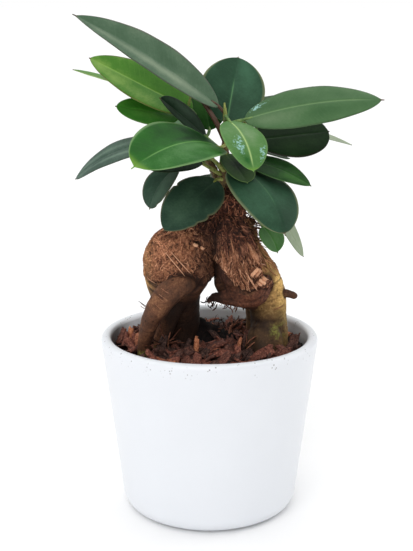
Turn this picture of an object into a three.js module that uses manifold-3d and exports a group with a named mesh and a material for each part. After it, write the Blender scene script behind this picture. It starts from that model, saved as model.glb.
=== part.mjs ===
// A potted ginseng ficus bonsai: swollen roots that meet in a shaggy neck, grafted stems with
// broad leathery leaves, bark mulch over soil, and a plain white glazed pot.
// Millimetres, +Z up. The origin is the centre of the pot's flat base, and the viewer's side is -Y.
import * as THREE from "three";
import { mergeVertices } from "three/addons/utils/BufferGeometryUtils.js";
import Module from "manifold-3d";

const wasm = await Module();
wasm.setup();

// Driving dimensions of the pot and of what fills it.
const POT = { rimRadius: 65, footRadius: 51.5, height: 107, wall: 6.4, floor: 8 };
const FOOT_ROUNDING = 10;
const INNER_ROUNDING = 4;
const POT_SEGMENTS = 48;
const SOIL_TOP = 91;
const MULCH_BED_TOP = 97;
const CLEARANCE = 0.35; // between pieces that touch

// Solids are joined and cut as manifolds, and their shapes come from three.js geometry.
function solidOf(geometry) {
  const bare = geometry.clone();
  bare.deleteAttribute("normal");
  bare.deleteAttribute("uv");
  const merged = mergeVertices(bare, 1e-4);
  const mesh = new wasm.Mesh({
    numProp: 3,
    vertProperties: new Float32Array(merged.attributes.position.array),
    triVerts: new Uint32Array(merged.index.array),
  });
  return new wasm.Manifold(mesh);
}

function geometryOf(solid) {
  const mesh = solid.getMesh();
  const geometry = new THREE.BufferGeometry();
  geometry.setAttribute("position", new THREE.BufferAttribute(mesh.vertProperties, 3));
  geometry.setIndex(new THREE.BufferAttribute(mesh.triVerts, 1));
  geometry.computeVertexNormals();
  return geometry;
}

const unionOf = (solids) => solids.reduce((joined, solid) => joined.add(solid));

// A cut can leave a loose scrap, and only the largest body is the piece.
function largestBody(solid) {
  return solid.decompose().reduce((best, body) => (body.volume() > best.volume() ? body : best));
}

const toRadians = (degrees) => (degrees * Math.PI) / 180;

const smoothLine = (points) => new THREE.CatmullRomCurve3(points, false, "catmullrom", 0.5);

// The same stream of numbers each run, from 0 to 1.
function seededRandom(seed) {
  let state = seed;
  return () => {
    state = (state * 1664525 + 1013904223) % 4294967296;
    return state / 4294967296;
  };
}

// A cylinder bent along a smooth line. Each station is [x, y, z, radius, radius front to back].
// swell widens the section by angle and by the share of the way along, for lobes and rings.
function bentTube(stations, { sides, steps, grow = 0, swell = () => 1 }) {
  const line = smoothLine(stations.map(([x, y, z]) => new THREE.Vector3(x, y, z)));
  const radii = smoothLine(stations.map(([, , , wide, deep = wide]) => new THREE.Vector3(wide, deep, 0)));
  const chord = line.getPoint(1).sub(line.getPoint(0)).normalize();
  const axes = [new THREE.Vector3(0, 1, 0), new THREE.Vector3(1, 0, 0), new THREE.Vector3(0, 0, 1)];
  const across = axes.find((axis) => Math.abs(axis.dot(chord)) < 0.75);
  const geometry = new THREE.CylinderGeometry(1, 1, 1, sides, steps);
  const position = geometry.attributes.position;
  for (let i = 0; i < position.count; i += 1) {
    const share = position.getY(i) + 0.5;
    const angle = Math.atan2(position.getZ(i), position.getX(i));
    const spread = Math.hypot(position.getX(i), position.getZ(i)) * swell(angle, share);
    const forward = line.getTangent(share);
    const wide = new THREE.Vector3().crossVectors(forward, across).normalize();
    const deep = new THREE.Vector3().crossVectors(wide, forward);
    const radius = radii.getPoint(share).addScalar(grow);
    const point = line
      .getPoint(share)
      .addScaledVector(wide, Math.cos(angle) * spread * radius.x)
      .addScaledVector(deep, Math.sin(angle) * spread * radius.y);
    position.setXYZ(i, point.x, point.y, point.z);
  }
  return solidOf(geometry);
}

// Pot: one glazed shell, turned from a profile that starts and ends on the axis.
const wallRadius = (z) => POT.footRadius + ((POT.rimRadius - POT.footRadius) * z) / POT.height;
const innerRadius = (z) => wallRadius(z) - POT.wall;

function arcPoints(x, y, radius, from, to, count) {
  return Array.from({ length: count + 1 }, (_, i) => {
    const angle = toRadians(from + ((to - from) * i) / count);
    return new THREE.Vector2(x + radius * Math.cos(angle), y + radius * Math.sin(angle));
  });
}

function turned(profile, segments) {
  return solidOf(new THREE.LatheGeometry(profile, segments).rotateX(Math.PI / 2));
}

function potSolid() {
  const lip = POT.wall / 2;
  const lipHeight = POT.height - lip;
  const innerFoot = POT.floor + INNER_ROUNDING;
  const profile = [
    new THREE.Vector2(0, 0),
    ...arcPoints(wallRadius(FOOT_ROUNDING) - FOOT_ROUNDING, FOOT_ROUNDING, FOOT_ROUNDING, -90, 0, 4),
    ...arcPoints(wallRadius(lipHeight) - lip, lipHeight, lip, 0, 180, 5),
    ...arcPoints(innerRadius(innerFoot) - INNER_ROUNDING, innerFoot, INNER_ROUNDING, 0, -90, 1),
    new THREE.Vector2(0, POT.floor),
  ];
  return turned(profile, POT_SEGMENTS);
}

// The room inside the pot between two levels, held clear of its wall and floor.
function potRoom(bottom, top, segments = POT_SEGMENTS / 2) {
  const foot = bottom < POT.floor + INNER_ROUNDING ? INNER_ROUNDING : 0;
  const profile = [
    new THREE.Vector2(0, bottom),
    new THREE.Vector2(innerRadius(bottom + foot) - foot - CLEARANCE, bottom),
    new THREE.Vector2(innerRadius(bottom + foot + 1) - CLEARANCE, bottom + foot + 1),
    new THREE.Vector2(innerRadius(top) - CLEARANCE, top),
    new THREE.Vector2(0, top),
  ];
  return turned(profile, segments);
}

// Roots and neck, grown as one piece. Most lines run from the neck down into the soil.
const ROOTS = {
  neck: [[8, 0, 198, 3.5], [8, 0, 190, 7.5], [8, 0, 182, 11], [7, 1, 172, 14.5, 13], [7, 2, 160, 14, 12]],
  leftBulb: [
    [3, 0, 175, 10], [-7, -1, 166, 15], [-16, -1, 154, 21, 20], [-19, 0, 144, 20, 19.5],
    [-20, 4, 133, 16.5], [-18.5, 9, 121, 13.5], [-18, 13, 107, 12.5], [-18, 15, 90, 12], [-18, 15, 72, 8],
  ],
  frontLeftLeg: [
    [-9, -12, 143, 6], [-17, -19, 141, 8], [-24, -23, 136, 7.6], [-30, -23.5, 128, 6.8],
    [-34.5, -22, 119, 5.7], [-37, -20, 110, 4.8], [-38.5, -18, 102, 4.2], [-39, -17, 92, 3.8],
    [-39, -16, 80, 3],
  ],
  backLeftLeg: [
    [-15, -6, 133, 7], [-21, -6, 124, 6.3], [-25.5, -5, 114, 5.8], [-28, -4, 104, 5.5],
    [-29, -3, 94, 5], [-29, -3, 82, 4],
  ],
  rightLeg: [
    [9, 1, 173, 12], [15, 2, 162, 13], [19.5, 3, 154, 12.5], [24.5, 4, 146, 13], [29.5, 4, 138, 13],
    [33, 4, 130, 12.5], [35.5, 4, 120, 11.5], [36, 4, 108, 11.7], [36.5, 4, 94, 11.5], [36.5, 4, 74, 8],
  ],
  innerRoot: [
    [8, 3, 162, 11], [9.5, 3, 150, 10], [10.5, 3, 141, 9.2], [13, 2, 134, 8.4], [19, 0, 129.5, 7.5],
    [27, 0, 127, 7],
  ],
  cutRoot: [
    [9, -4, 176, 9], [12, -8, 167, 11.5, 10], [14.5, -11, 159, 12.7, 10], [17, -13, 151, 12.5, 9.5],
    [20, -14, 144.5, 11.2, 8.5], [22, -14, 139.5, 7.5, 6],
  ],
  knob: [
    [31, -5, 138, 7], [26, -9, 133.5, 8], [19, -10.5, 132, 7], [12, -10, 131.5, 5.4],
    [6, -8, 130.5, 3.8], [1.5, -5, 129.5, 2.6], [-1.5, -4, 126.5, 1.8],
  ],
  footLobe: [[31, -2, 112, 5], [31.5, -6, 106, 6.5], [32, -9, 99, 7], [32, -10, 90, 6], [32, -9, 80, 4]],
  backLeg: [
    [12, 6, 171, 9], [19, 14, 157, 9.5], [25, 20, 142, 9], [28.5, 25, 124, 8], [29.5, 27, 106, 7.5],
    [29.5, 27, 90, 7], [29, 26, 76, 5],
  ],
  backStump: [[16, 6, 158, 5], [21, 8, 164, 5.5], [24.5, 9, 170, 5], [26, 9, 175, 3.4], [26.5, 9, 178, 1.5]],
  sideStub: [[43, 0, 131, 2.8], [48, -1, 131, 2.3], [51.5, -1.5, 130, 2.2], [53.3, -1.5, 129.2, 1.3]],
};
const ROOT_SIDES = { neck: 14, leftBulb: 18, rightLeg: 14, cutRoot: 12, frontLeftLeg: 10, innerRoot: 10 };

// Lobes run along each root, and rings cross it.
const rootSwell = (order) => (angle, share) =>
  1 + 0.035 * Math.sin(3 * angle + 2 * order + 5 * share) + 0.025 * Math.sin(2 * angle - order + 11 * share);

function rootSolids(grow = 0) {
  return Object.entries(ROOTS).map(([name, stations], order) => {
    const sides = ROOT_SIDES[name] ?? 8;
    const steps = Math.round((stations.length - 1) * (sides > 12 ? 1.6 : 1.2));
    return bentTube(stations, { sides, steps, grow, swell: rootSwell(order) });
  });
}

// Grafted stems that fork from the neck. Lines run from the neck up.
const STEMS = {
  main: [
    [8, 0, 190, 4.5], [8, -1, 200, 3.6], [8.5, -1, 212, 2.8], [9.5, 0, 225, 2.2], [9, 0, 236, 1.4],
    [8.5, 0, 243, 0.5],
  ],
  left: [
    [7, 0, 194, 3], [2, 3, 205, 2.5], [-5, 6, 217, 2.1], [-11, 8, 229, 1.7], [-12, 8, 240, 1.1],
    [-10.5, 8, 247, 0.5],
  ],
  back: [[9, 1, 194, 3], [13, 7, 204, 2.4], [17, 13, 214, 2], [20, 18, 225, 1.6], [21, 20, 233, 0.6]],
  low: [[8.5, -1, 204, 2.2], [14, -2, 203, 1.8], [20, -3, 198, 1.5], [24.5, -4, 190, 1.3], [27, -4, 181, 1]],
};

function stemSolids(grow = 0) {
  const tube = (stations) => bentTube(stations, { sides: 7, steps: 2 * stations.length, grow });
  return Object.values(STEMS).map(tube);
}

// Leaves. place is where the blade starts. aim is [azimuth, rise, roll] in degrees: azimuth 0 points
// along +X and -90 at the viewer, rise is above the horizon, and roll turns the blade about that line.
// size is [length, width]. from is [stem, share of the way up]. Then come the leaf's own traits:
// fold lifts both edges, arch humps the midrib and sweep bows it sideways, as shares of its size,
// and full is the roundness at the base and at the tip.
const leaf = (place, aim, size, from, traits) => ({
  place,
  azimuth: aim[0],
  rise: aim[1],
  roll: aim[2],
  length: size[0],
  width: size[1],
  from,
  fold: 0.1,
  arch: 0.04,
  sweep: 0,
  full: [0.55, 0.6],
  ...traits,
});
const POINTED = [0.55, 0.7];
const ROUNDED = [0.6, 0.5];
const LEAVES = {
  top_left: leaf([5, 1, 241], [-163, 32, -48], [95, 26], ["main", 0.66], { fold: 0.25, full: [0.6, 0.85] }),
  young_left: leaf([-10, 6, 238], [180, 27, -40], [65, 30], ["left", 0.6], {
    fold: 0.16, arch: 0, full: POINTED,
  }),
  thin_left: leaf([-18, 18, 239], [176, 19, 0], [65, 24], ["left", 0.66], { arch: 0.02 }),
  small_left: leaf([-17, 7, 235], [-172, 9, -36], [37, 23], ["left", 0.5], { fold: 0, arch: 0 }),
  dark_left: leaf([-2, 4, 223], [-148, 38, -48], [38, 18], ["main", 0.44], { fold: 0.2, arch: 0.02 }),
  broad_left: leaf([6, -11, 219], [-136, -4, -23], [63, 43], ["main", 0.54], { arch: 0.13, full: ROUNDED }),
  far_left: leaf([-20, 14, 218], [170, -20, -30], [65, 21], ["left", 0.36], { fold: 0, arch: 0.13 }),
  shaded_left: leaf([-4, 2, 211], [-150, -2, -27], [39, 27], ["main", 0.24], { full: ROUNDED }),
  low_left: leaf([-18, 7, 206], [-155, -52, -9], [30, 27], ["left", 0.22], { arch: 0.12, full: ROUNDED }),
  front_left: leaf([4, -8, 200], [-135, -30, -30], [47, 30], ["main", 0.1], { fold: 0, full: POINTED }),
  right_large: leaf([20, -5, 234], [2, 8, 38], [78, 31], ["main", 0.68], {
    fold: -0.1, arch: 0.06, full: POINTED,
  }),
  top_centre: leaf([10, 9, 231], [70, 61, 23], [41, 36], ["main", 0.6], { fold: 0.05, arch: 0.03 }),
  centre_front: leaf([11, -14, 234], [-66, -37, 0], [39, 25], ["main", 0.74], {
    fold: 0, arch: 0.1, sweep: 0.03,
  }),
  centre_low: leaf([9, -8, 215], [-58, -31, 0], [26, 19], ["main", 0.42], { full: ROUNDED }),
  right_dark: leaf([26, 6, 221], [13, 5, 38], [45, 35], ["main", 0.56], {
    fold: 0, arch: 0, full: ROUNDED,
  }),
  right_far: leaf([31, 28, 225], [16, -11, 9], [59, 22], ["back", 0.7], {}),
  right_small: leaf([20, -2, 211], [-17, -19, 18], [41, 23], ["main", 0.36], {
    fold: 0, arch: 0.06, full: POINTED,
  }),
  right_tuck: leaf([24, 13, 216], [15, -17, 7], [25, 18], ["back", 0.46], { fold: 0, arch: 0.01 }),
  front_right: leaf([15, -9, 208], [-52, -37, 2], [53, 40], ["main", 0.22], {
    fold: -0.15, arch: 0.1, sweep: 0.05,
  }),
  low_right: leaf([31, -4, 172], [-34, -54, 6], [17, 21], ["low", 1], { arch: 0.08 }),
  low_far_right: leaf([28, 8, 197], [14, -58, 40], [55, 17], ["back", 0.2], { arch: 0.02 }),
  back_up: leaf([0, 14, 226], [105, 48, 0], [34, 24], ["left", 0.5], {}),
  back_left: leaf([-10, 19, 221], [125, 8, 10], [56, 32], ["left", 0.42], { arch: 0.06 }),
  back_right: leaf([22, 22, 228], [60, 15, -10], [56, 34], ["back", 0.8], { arch: 0.06 }),
  back_low: leaf([15, 14, 203], [62, -20, 0], [52, 36], ["back", 0.25], { arch: 0.06 }),
  back_droop: leaf([1, 13, 200], [108, -40, 0], [44, 31], ["left", 0.14], { full: ROUNDED }),
};
const BLADE = { thickness: 0.8, rows: 8, columns: 2, narrowest: 0.05 };

// The half width along a blade, as a share of its widest.
function outline(share, [base, tip]) {
  const widest = base / (base + tip);
  const shape = (t) => t ** base * (1 - t) ** tip;
  return Math.max(shape(share) / shape(widest), BLADE.narrowest);
}

function leafFrame({ azimuth, rise, roll }) {
  const [a, r, o] = [azimuth, rise, roll].map(toRadians);
  const along = new THREE.Vector3(Math.cos(r) * Math.cos(a), Math.cos(r) * Math.sin(a), Math.sin(r));
  const upright = new THREE.Vector3(-Math.sin(r) * Math.cos(a), -Math.sin(r) * Math.sin(a), Math.cos(r));
  const level = new THREE.Vector3().crossVectors(upright, along);
  const side = level.clone().multiplyScalar(Math.cos(o)).addScaledVector(upright, Math.sin(o));
  const face = upright.clone().multiplyScalar(Math.cos(o)).addScaledVector(level, -Math.sin(o));
  return { along, side, face };
}

// A point of the blade: share runs from base to tip, and s from one edge, -1, to the other, 1.
function bladePoint(traits, frame, share, s, lift = 0) {
  const half = (traits.width / 2) * outline(share, traits.full);
  const hump = 4 * share * (1 - share) * traits.length;
  return new THREE.Vector3(...traits.place)
    .addScaledVector(frame.along, share * traits.length)
    .addScaledVector(frame.side, s * half + traits.sweep * hump)
    .addScaledVector(frame.face, traits.arch * hump + traits.fold * Math.abs(s) * half + lift);
}

// The blade as a thin closed slab, split into triangles alike on both faces.
function bladeSolid(traits) {
  const { thickness, rows, columns } = BLADE;
  const frame = leafFrame(traits);
  const points = [];
  for (const lift of [thickness / 2, -thickness / 2]) {
    for (let i = 0; i <= rows; i += 1) {
      const share = 0.5 - 0.5 * Math.cos((Math.PI * i) / rows);
      for (let j = 0; j <= columns; j += 1) {
        points.push(bladePoint(traits, frame, share, (2 * j) / columns - 1, lift));
      }
    }
  }
  const under = points.length / 2;
  const at = (i, j) => i * (columns + 1) + j;
  const triangles = [];
  for (let i = 0; i < rows; i += 1) {
    for (let j = 0; j < columns; j += 1) {
      const [a, b, c, d] = [at(i, j), at(i + 1, j), at(i + 1, j + 1), at(i, j + 1)];
      triangles.push(a, b, c, a, c, d);
      triangles.push(under + a, under + c, under + b, under + a, under + d, under + c);
    }
  }
  const upTo = (count) => Array.from({ length: count }, (_, i) => i);
  const rim = [
    ...upTo(rows).map((i) => at(i, 0)),
    ...upTo(columns).map((j) => at(rows, j)),
    ...upTo(rows).map((i) => at(rows - i, columns)),
    ...upTo(columns).map((j) => at(0, columns - j)),
  ];
  rim.forEach((u, k) => {
    const v = rim[(k + 1) % rim.length];
    triangles.push(u, under + u, under + v, u, under + v, v);
  });
  const geometry = new THREE.BufferGeometry().setFromPoints(points);
  geometry.setIndex(triangles);
  return solidOf(geometry);
}

// A leaf with its stalk, which ends just off the stem's surface.
function leafSolid(traits, stemsGrown) {
  const [stemName, share] = traits.from;
  const frame = leafFrame(traits);
  const root = smoothLine(STEMS[stemName].map(([x, y, z]) => new THREE.Vector3(x, y, z))).getPoint(share);
  const start = new THREE.Vector3(...traits.place);
  const bend = start.clone().addScaledVector(frame.along, -0.4 * root.distanceTo(start));
  const stalk = [
    [...root, 1.2],
    [...root.clone().lerp(bend, 0.7), 1.1],
    [...start, 1],
    [...bladePoint(traits, frame, 0.05, 0), 0.6],
  ];
  const whole = bentTube(stalk, { sides: 5, steps: 3 }).add(bladeSolid(traits));
  return largestBody(whole.subtract(stemsGrown));
}

// Mulch: flakes of bark sunk in a bed of finer bark.
const CHIP = { count: 42, length: [11, 19], width: [6, 10], thickness: [1.8, 2.8], tilt: 26, rise: 2.4 };
// Chips that stand up: the centre's x, y and z, then length, width, heading and lean in degrees.
const STANDING_CHIPS = [
  [-7, -40, 101, 12, 5, 80, 62],
  [6, -36, 100, 15, 11, 15, 38],
  [16, -30, 99, 18, 4, 85, 80],
  [-50, 2, 101, 14, 9, 60, 55],
  [-24, -40, 99, 15, 8, 30, 30],
];

function chipSolid(centre, size, turn, random) {
  const geometry = new THREE.BoxGeometry(...size);
  const position = geometry.deleteAttribute("normal").deleteAttribute("uv").attributes.position;
  const corner = (x, y, z) => 4 * (x > 0) + 2 * (y > 0) + (z > 0);
  const uneven = () => [0.8 + 0.35 * random(), 0.6 + 0.6 * random(), 0.7 + 0.5 * random()];
  const stretch = Array.from({ length: 8 }, uneven);
  for (let i = 0; i < position.count; i += 1) {
    const [x, y, z] = [position.getX(i), position.getY(i), position.getZ(i)];
    const [sx, sy, sz] = stretch[corner(x, y, z)];
    position.setXYZ(i, x * sx, y * sy, z * sz);
  }
  const [heading, lean, roll] = turn.map(toRadians);
  const matrix = new THREE.Matrix4().makeRotationFromEuler(new THREE.Euler(roll, -lean, heading, "ZYX"));
  return solidOf(geometry.applyMatrix4(matrix.setPosition(...centre)));
}

function mulchSolid(rootsGrown) {
  const random = seededRandom(71);
  const between = ([low, high]) => low + (high - low) * random();
  const either = (most) => most * (2 * random() - 1);
  const flakes = Array.from({ length: CHIP.count }, (_, i) => {
    const reach = (innerRadius(MULCH_BED_TOP) - 6) * Math.sqrt((i + 0.5) / CHIP.count);
    const turn = i * Math.PI * (3 - Math.sqrt(5));
    const height = MULCH_BED_TOP + 0.4 + CHIP.rise * random();
    const centre = [reach * Math.cos(turn), reach * Math.sin(turn), height];
    const size = [between(CHIP.length), between(CHIP.width), between(CHIP.thickness)];
    return chipSolid(centre, size, [360 * random(), either(CHIP.tilt), either(CHIP.tilt)], random);
  });
  const standing = STANDING_CHIPS.map(([x, y, z, length, width, heading, lean]) =>
    chipSolid([x, y, z], [length, width, 2.2], [heading, lean, 0], random),
  );
  const bed = potRoom(SOIL_TOP + CLEARANCE, MULCH_BED_TOP);
  const room = potRoom(SOIL_TOP + CLEARANCE, POT.height + 8);
  return largestBody(unionOf([bed, ...flakes, ...standing]).intersect(room).subtract(rootsGrown));
}

// Looks, from the photograph.
const finish = (color, roughness) => new THREE.MeshStandardMaterial({ color, roughness, metalness: 0 });
const FINISHES = {
  glaze: finish(0xf2f4f6, 0.3),
  soil: finish(0x2a1d17, 0.95),
  mulch: finish(0x6b3526, 0.85),
  bark: finish(0x8a5a3a, 0.8),
  greenwood: finish(0x6f6a34, 0.6),
  darkLeaf: finish(0x234a34, 0.4),
  midLeaf: finish(0x3f7d45, 0.4),
  youngLeaf: finish(0x5c9a2e, 0.45),
};
const YOUNG_LEAVES = ["young_left", "thin_left", "small_left", "low_right", "low_far_right", "right_far"];
const MID_LEAVES = ["top_left", "broad_left", "right_large", "centre_front", "far_left"];

function leafFinish(name) {
  if (YOUNG_LEAVES.includes(name)) return FINISHES.youngLeaf;
  return MID_LEAVES.includes(name) ? FINISHES.midLeaf : FINISHES.darkLeaf;
}

const bonsai = new THREE.Group();

function addPiece(name, solid, material) {
  const mesh = new THREE.Mesh(geometryOf(solid), material);
  mesh.name = name;
  bonsai.add(mesh);
}

const roots = unionOf(rootSolids());
const rootsGrown = unionOf(rootSolids(CLEARANCE));
const stemsGrown = unionOf(stemSolids(CLEARANCE));
addPiece("pot", potSolid(), FINISHES.glaze);
addPiece("soil", potRoom(POT.floor + CLEARANCE, SOIL_TOP).subtract(rootsGrown), FINISHES.soil);
addPiece("bark_mulch", mulchSolid(rootsGrown), FINISHES.mulch);
addPiece("roots_and_neck", roots, FINISHES.bark);
addPiece("graft_stems", largestBody(unionOf(stemSolids()).subtract(rootsGrown)), FINISHES.greenwood);
for (const [name, traits] of Object.entries(LEAVES)) {
  addPiece(`leaf_${name}`, leafSolid(traits, stemsGrown), leafFinish(name));
}

export default bonsai;
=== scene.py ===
"""The looks of a potted ginseng ficus bonsai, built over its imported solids.

Blender works in metres. The tables of the plant's parts are in millimetres, as the solids' own
source has them, and MM turns them into metres. The viewer's side is -Y, and +Z is up.
"""

import math
from itertools import product

import bpy
import numpy as np
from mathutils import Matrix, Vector
from mathutils.bvhtree import BVHTree


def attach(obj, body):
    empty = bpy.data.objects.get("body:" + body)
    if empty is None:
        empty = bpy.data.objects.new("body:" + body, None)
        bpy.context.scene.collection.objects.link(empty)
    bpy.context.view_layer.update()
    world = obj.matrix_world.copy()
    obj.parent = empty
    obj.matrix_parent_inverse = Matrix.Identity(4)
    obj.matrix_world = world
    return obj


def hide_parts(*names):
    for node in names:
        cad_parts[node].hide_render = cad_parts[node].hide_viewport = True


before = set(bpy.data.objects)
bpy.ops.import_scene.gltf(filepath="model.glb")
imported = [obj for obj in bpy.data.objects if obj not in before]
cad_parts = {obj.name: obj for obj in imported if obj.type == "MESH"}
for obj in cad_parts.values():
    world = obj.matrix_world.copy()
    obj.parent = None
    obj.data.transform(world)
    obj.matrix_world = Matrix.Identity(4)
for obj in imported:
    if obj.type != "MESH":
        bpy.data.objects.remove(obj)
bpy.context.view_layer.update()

MM = 0.001

# Driving dimensions, in millimetres, as in the solids
RIM_RADIUS = 65
FOOT_RADIUS = 51.5
FOOT_ROUNDING = 10
POT_HEIGHT = 107
POT_WALL = 6.4
POT_FLOOR = 8
MULCH_BED_TOP = 97
BLADE_THICKNESS = 0.55

# Roots and neck. Each station is x, y, z, radius and, where it differs, radius front to back. They are
# the solids' own, but for a neck that is full above its waist, a ragged stump, a knobbly side stub, an
# elbow that rounds off the inside of a bend, and a broad foot.
ROOTS = {
    "neck": [
        (8, 0, 198, 3.5), (8, 0, 190, 8.2), (8.6, 0, 182, 12.2, 11), (7, 1, 173, 13, 12.2),
        (6.2, 2, 162, 14, 12),
    ],
    "left_bulb": [
        (3, 0, 175, 10), (-7, -1, 166, 15), (-16, -1, 154, 21, 20), (-19, 0, 144, 20, 19.5),
        (-20, 4, 133, 16.5), (-18.5, 9, 121, 13.5), (-18, 13, 107, 12.5), (-18, 15, 90, 12), (-18, 15, 72, 8),
    ],
    "front_left_leg": [
        (-9, -12, 143, 6), (-17, -19, 141, 8), (-24, -23, 136, 7.6), (-30, -23.5, 128, 6.8),
        (-34.5, -22, 119, 5.7), (-37, -20, 110, 4.8), (-38.5, -18, 102, 4.2), (-39, -17, 92, 3.8),
        (-39, -16, 80, 3),
    ],
    "back_left_leg": [
        (-15, -6, 133, 7), (-21, -6, 124, 6.3), (-25.5, -5, 114, 5.8), (-28, -4, 104, 5.5),
        (-29, -3, 94, 5), (-29, -3, 82, 4),
    ],
    "right_leg": [
        (9, 1, 173, 12), (15, 2, 162, 13), (19.5, 3, 154, 12.5), (24.5, 4, 146, 13), (29.5, 4, 138, 13),
        (33, 4, 130, 12.5), (35.5, 4, 120, 11.5), (36, 4, 108, 11.7), (36.5, 4, 94, 11.5), (36.5, 4, 74, 8),
    ],
    "inner_root": [
        (8, 3, 162, 11), (9.5, 3, 150, 10), (10.5, 3, 141, 9.2), (13, 2, 134, 8.4), (19, 0, 129.5, 7.5),
        (27, 0, 127, 7),
    ],
    "cut_root": [
        (9, -4, 176, 9), (12, -8, 167, 11.5, 10), (14.5, -11, 159, 12.7, 10), (17, -13, 151, 12.5, 9.5),
        (20, -14, 144.5, 11.2, 8.5), (22, -14, 139.5, 7.5, 6),
    ],
    "knob": [
        (31, -5, 138, 7), (26, -9, 133.5, 8), (19, -10.5, 132, 7), (12, -10, 131.5, 5.4),
        (6, -8, 130.5, 3.8), (1.5, -5, 129.5, 2.6), (-1.5, -4, 126.5, 1.8),
    ],
    "foot_lobe": [(31, -2, 112, 5), (31.5, -6, 106, 6.5), (32, -9, 99, 7), (32, -10, 90, 6), (32, -9, 80, 4)],
    "back_leg": [
        (12, 6, 171, 9), (19, 14, 157, 9.5), (25, 20, 142, 9), (28.5, 25, 124, 8), (29.5, 27, 106, 7.5),
        (29.5, 27, 90, 7), (29, 26, 76, 5),
    ],
    "back_stump": [
        (16, 6, 158, 5), (19.5, 8, 164, 5), (22, 9, 168.5, 4), (23.6, 9, 172, 2.6), (24.4, 9, 174.5, 1.3),
    ],
    "side_stub": [
        (43, 0, 131, 3.6), (46, -1, 131, 2.7), (48.6, -1.2, 130.7, 2.4), (50.2, -1.4, 129.8, 2.8),
        (50.8, -1.5, 128.4, 2.1),
    ],
    "elbow": [(14, -6, 146, 6), (15.5, -9, 139, 7.5), (20, -10.5, 134, 7.5), (27, -9, 133, 7)],
    "foot_left": [(30, -1, 111, 5), (27.5, -4, 105, 5.5), (26.5, -6, 98, 6), (26, -7, 88, 5)],
    "foot_right": [(35, -4, 113, 5), (37.5, -6.5, 106, 5.5), (38.5, -7.5, 98, 6), (38.5, -8, 88, 5)],
}
FOOT_LOBES = ("foot_lobe", "foot_left", "foot_right")

# Grafted stems, from the neck up
STEMS = {
    "main": [
        (8, 0, 190, 4.5), (8, -1, 200, 3.6), (8.5, -1, 212, 2.8), (9.5, 0, 225, 2.2), (9, 0, 236, 1.4),
        (8.5, 0, 243, 0.5),
    ],
    "left": [
        (7, 0, 194, 3), (2, 3, 205, 2.5), (-5, 6, 217, 2.1), (-11, 8, 229, 1.7), (-12, 8, 240, 1.1),
        (-10.5, 8, 247, 0.5),
    ],
    "back": [(9, 1, 194, 3), (13, 7, 204, 2.4), (17, 13, 214, 2), (20, 18, 225, 1.6), (21, 20, 233, 0.6)],
    "low": [
        (8.5, -1, 204, 2.2), (14, -2, 203, 1.8), (20, -3, 198, 1.5), (24.5, -4, 190, 1.3), (27, -4, 181, 1),
    ],
}

POINTED = (0.55, 0.7)
ROUNDED = (0.6, 0.5)


def leaf(place, aim, size, stem, look, **traits):
    """One row of the table of leaves. aim is azimuth, rise and roll in degrees, size is length and
    width, and stem is the stem's name and the share of the way up it where the stalk leaves.

    fold is how far the two halves rise, arch how far the blade bows and sweep how far it bends to one
    side. full is how slim the base and the tip are, and drip the length of the thin tip.

    On a blade, t runs from base to tip, 0 to 1, and s from edge to edge, -1 to 1. bands are patches of
    painted sheen, or of painted shade where negative: t, s, reach in t, reach in s, and strength. wet
    are patches of droplets with painted pale glints, the same without strength. bites are dents in the
    edge: t, side, depth and reach in t.
    rib is the strength of the midrib and the t where it fades, and tip how brown and how fresh it is."""
    plain = {
        "fold": 0.1, "arch": 0.04, "sweep": 0, "full": (0.55, 0.6), "drip": 0.8, "stalk": "green",
        "bands": [(0.45, 0.3, 0.4, 0.3, 0.35)], "wet": [], "bites": [], "rib": (0.4, 0.95), "tip": (0.5, 0),
    }
    return {"place": place, "aim": aim, "size": size, "stem": stem, "look": look, **plain, **traits}


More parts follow.
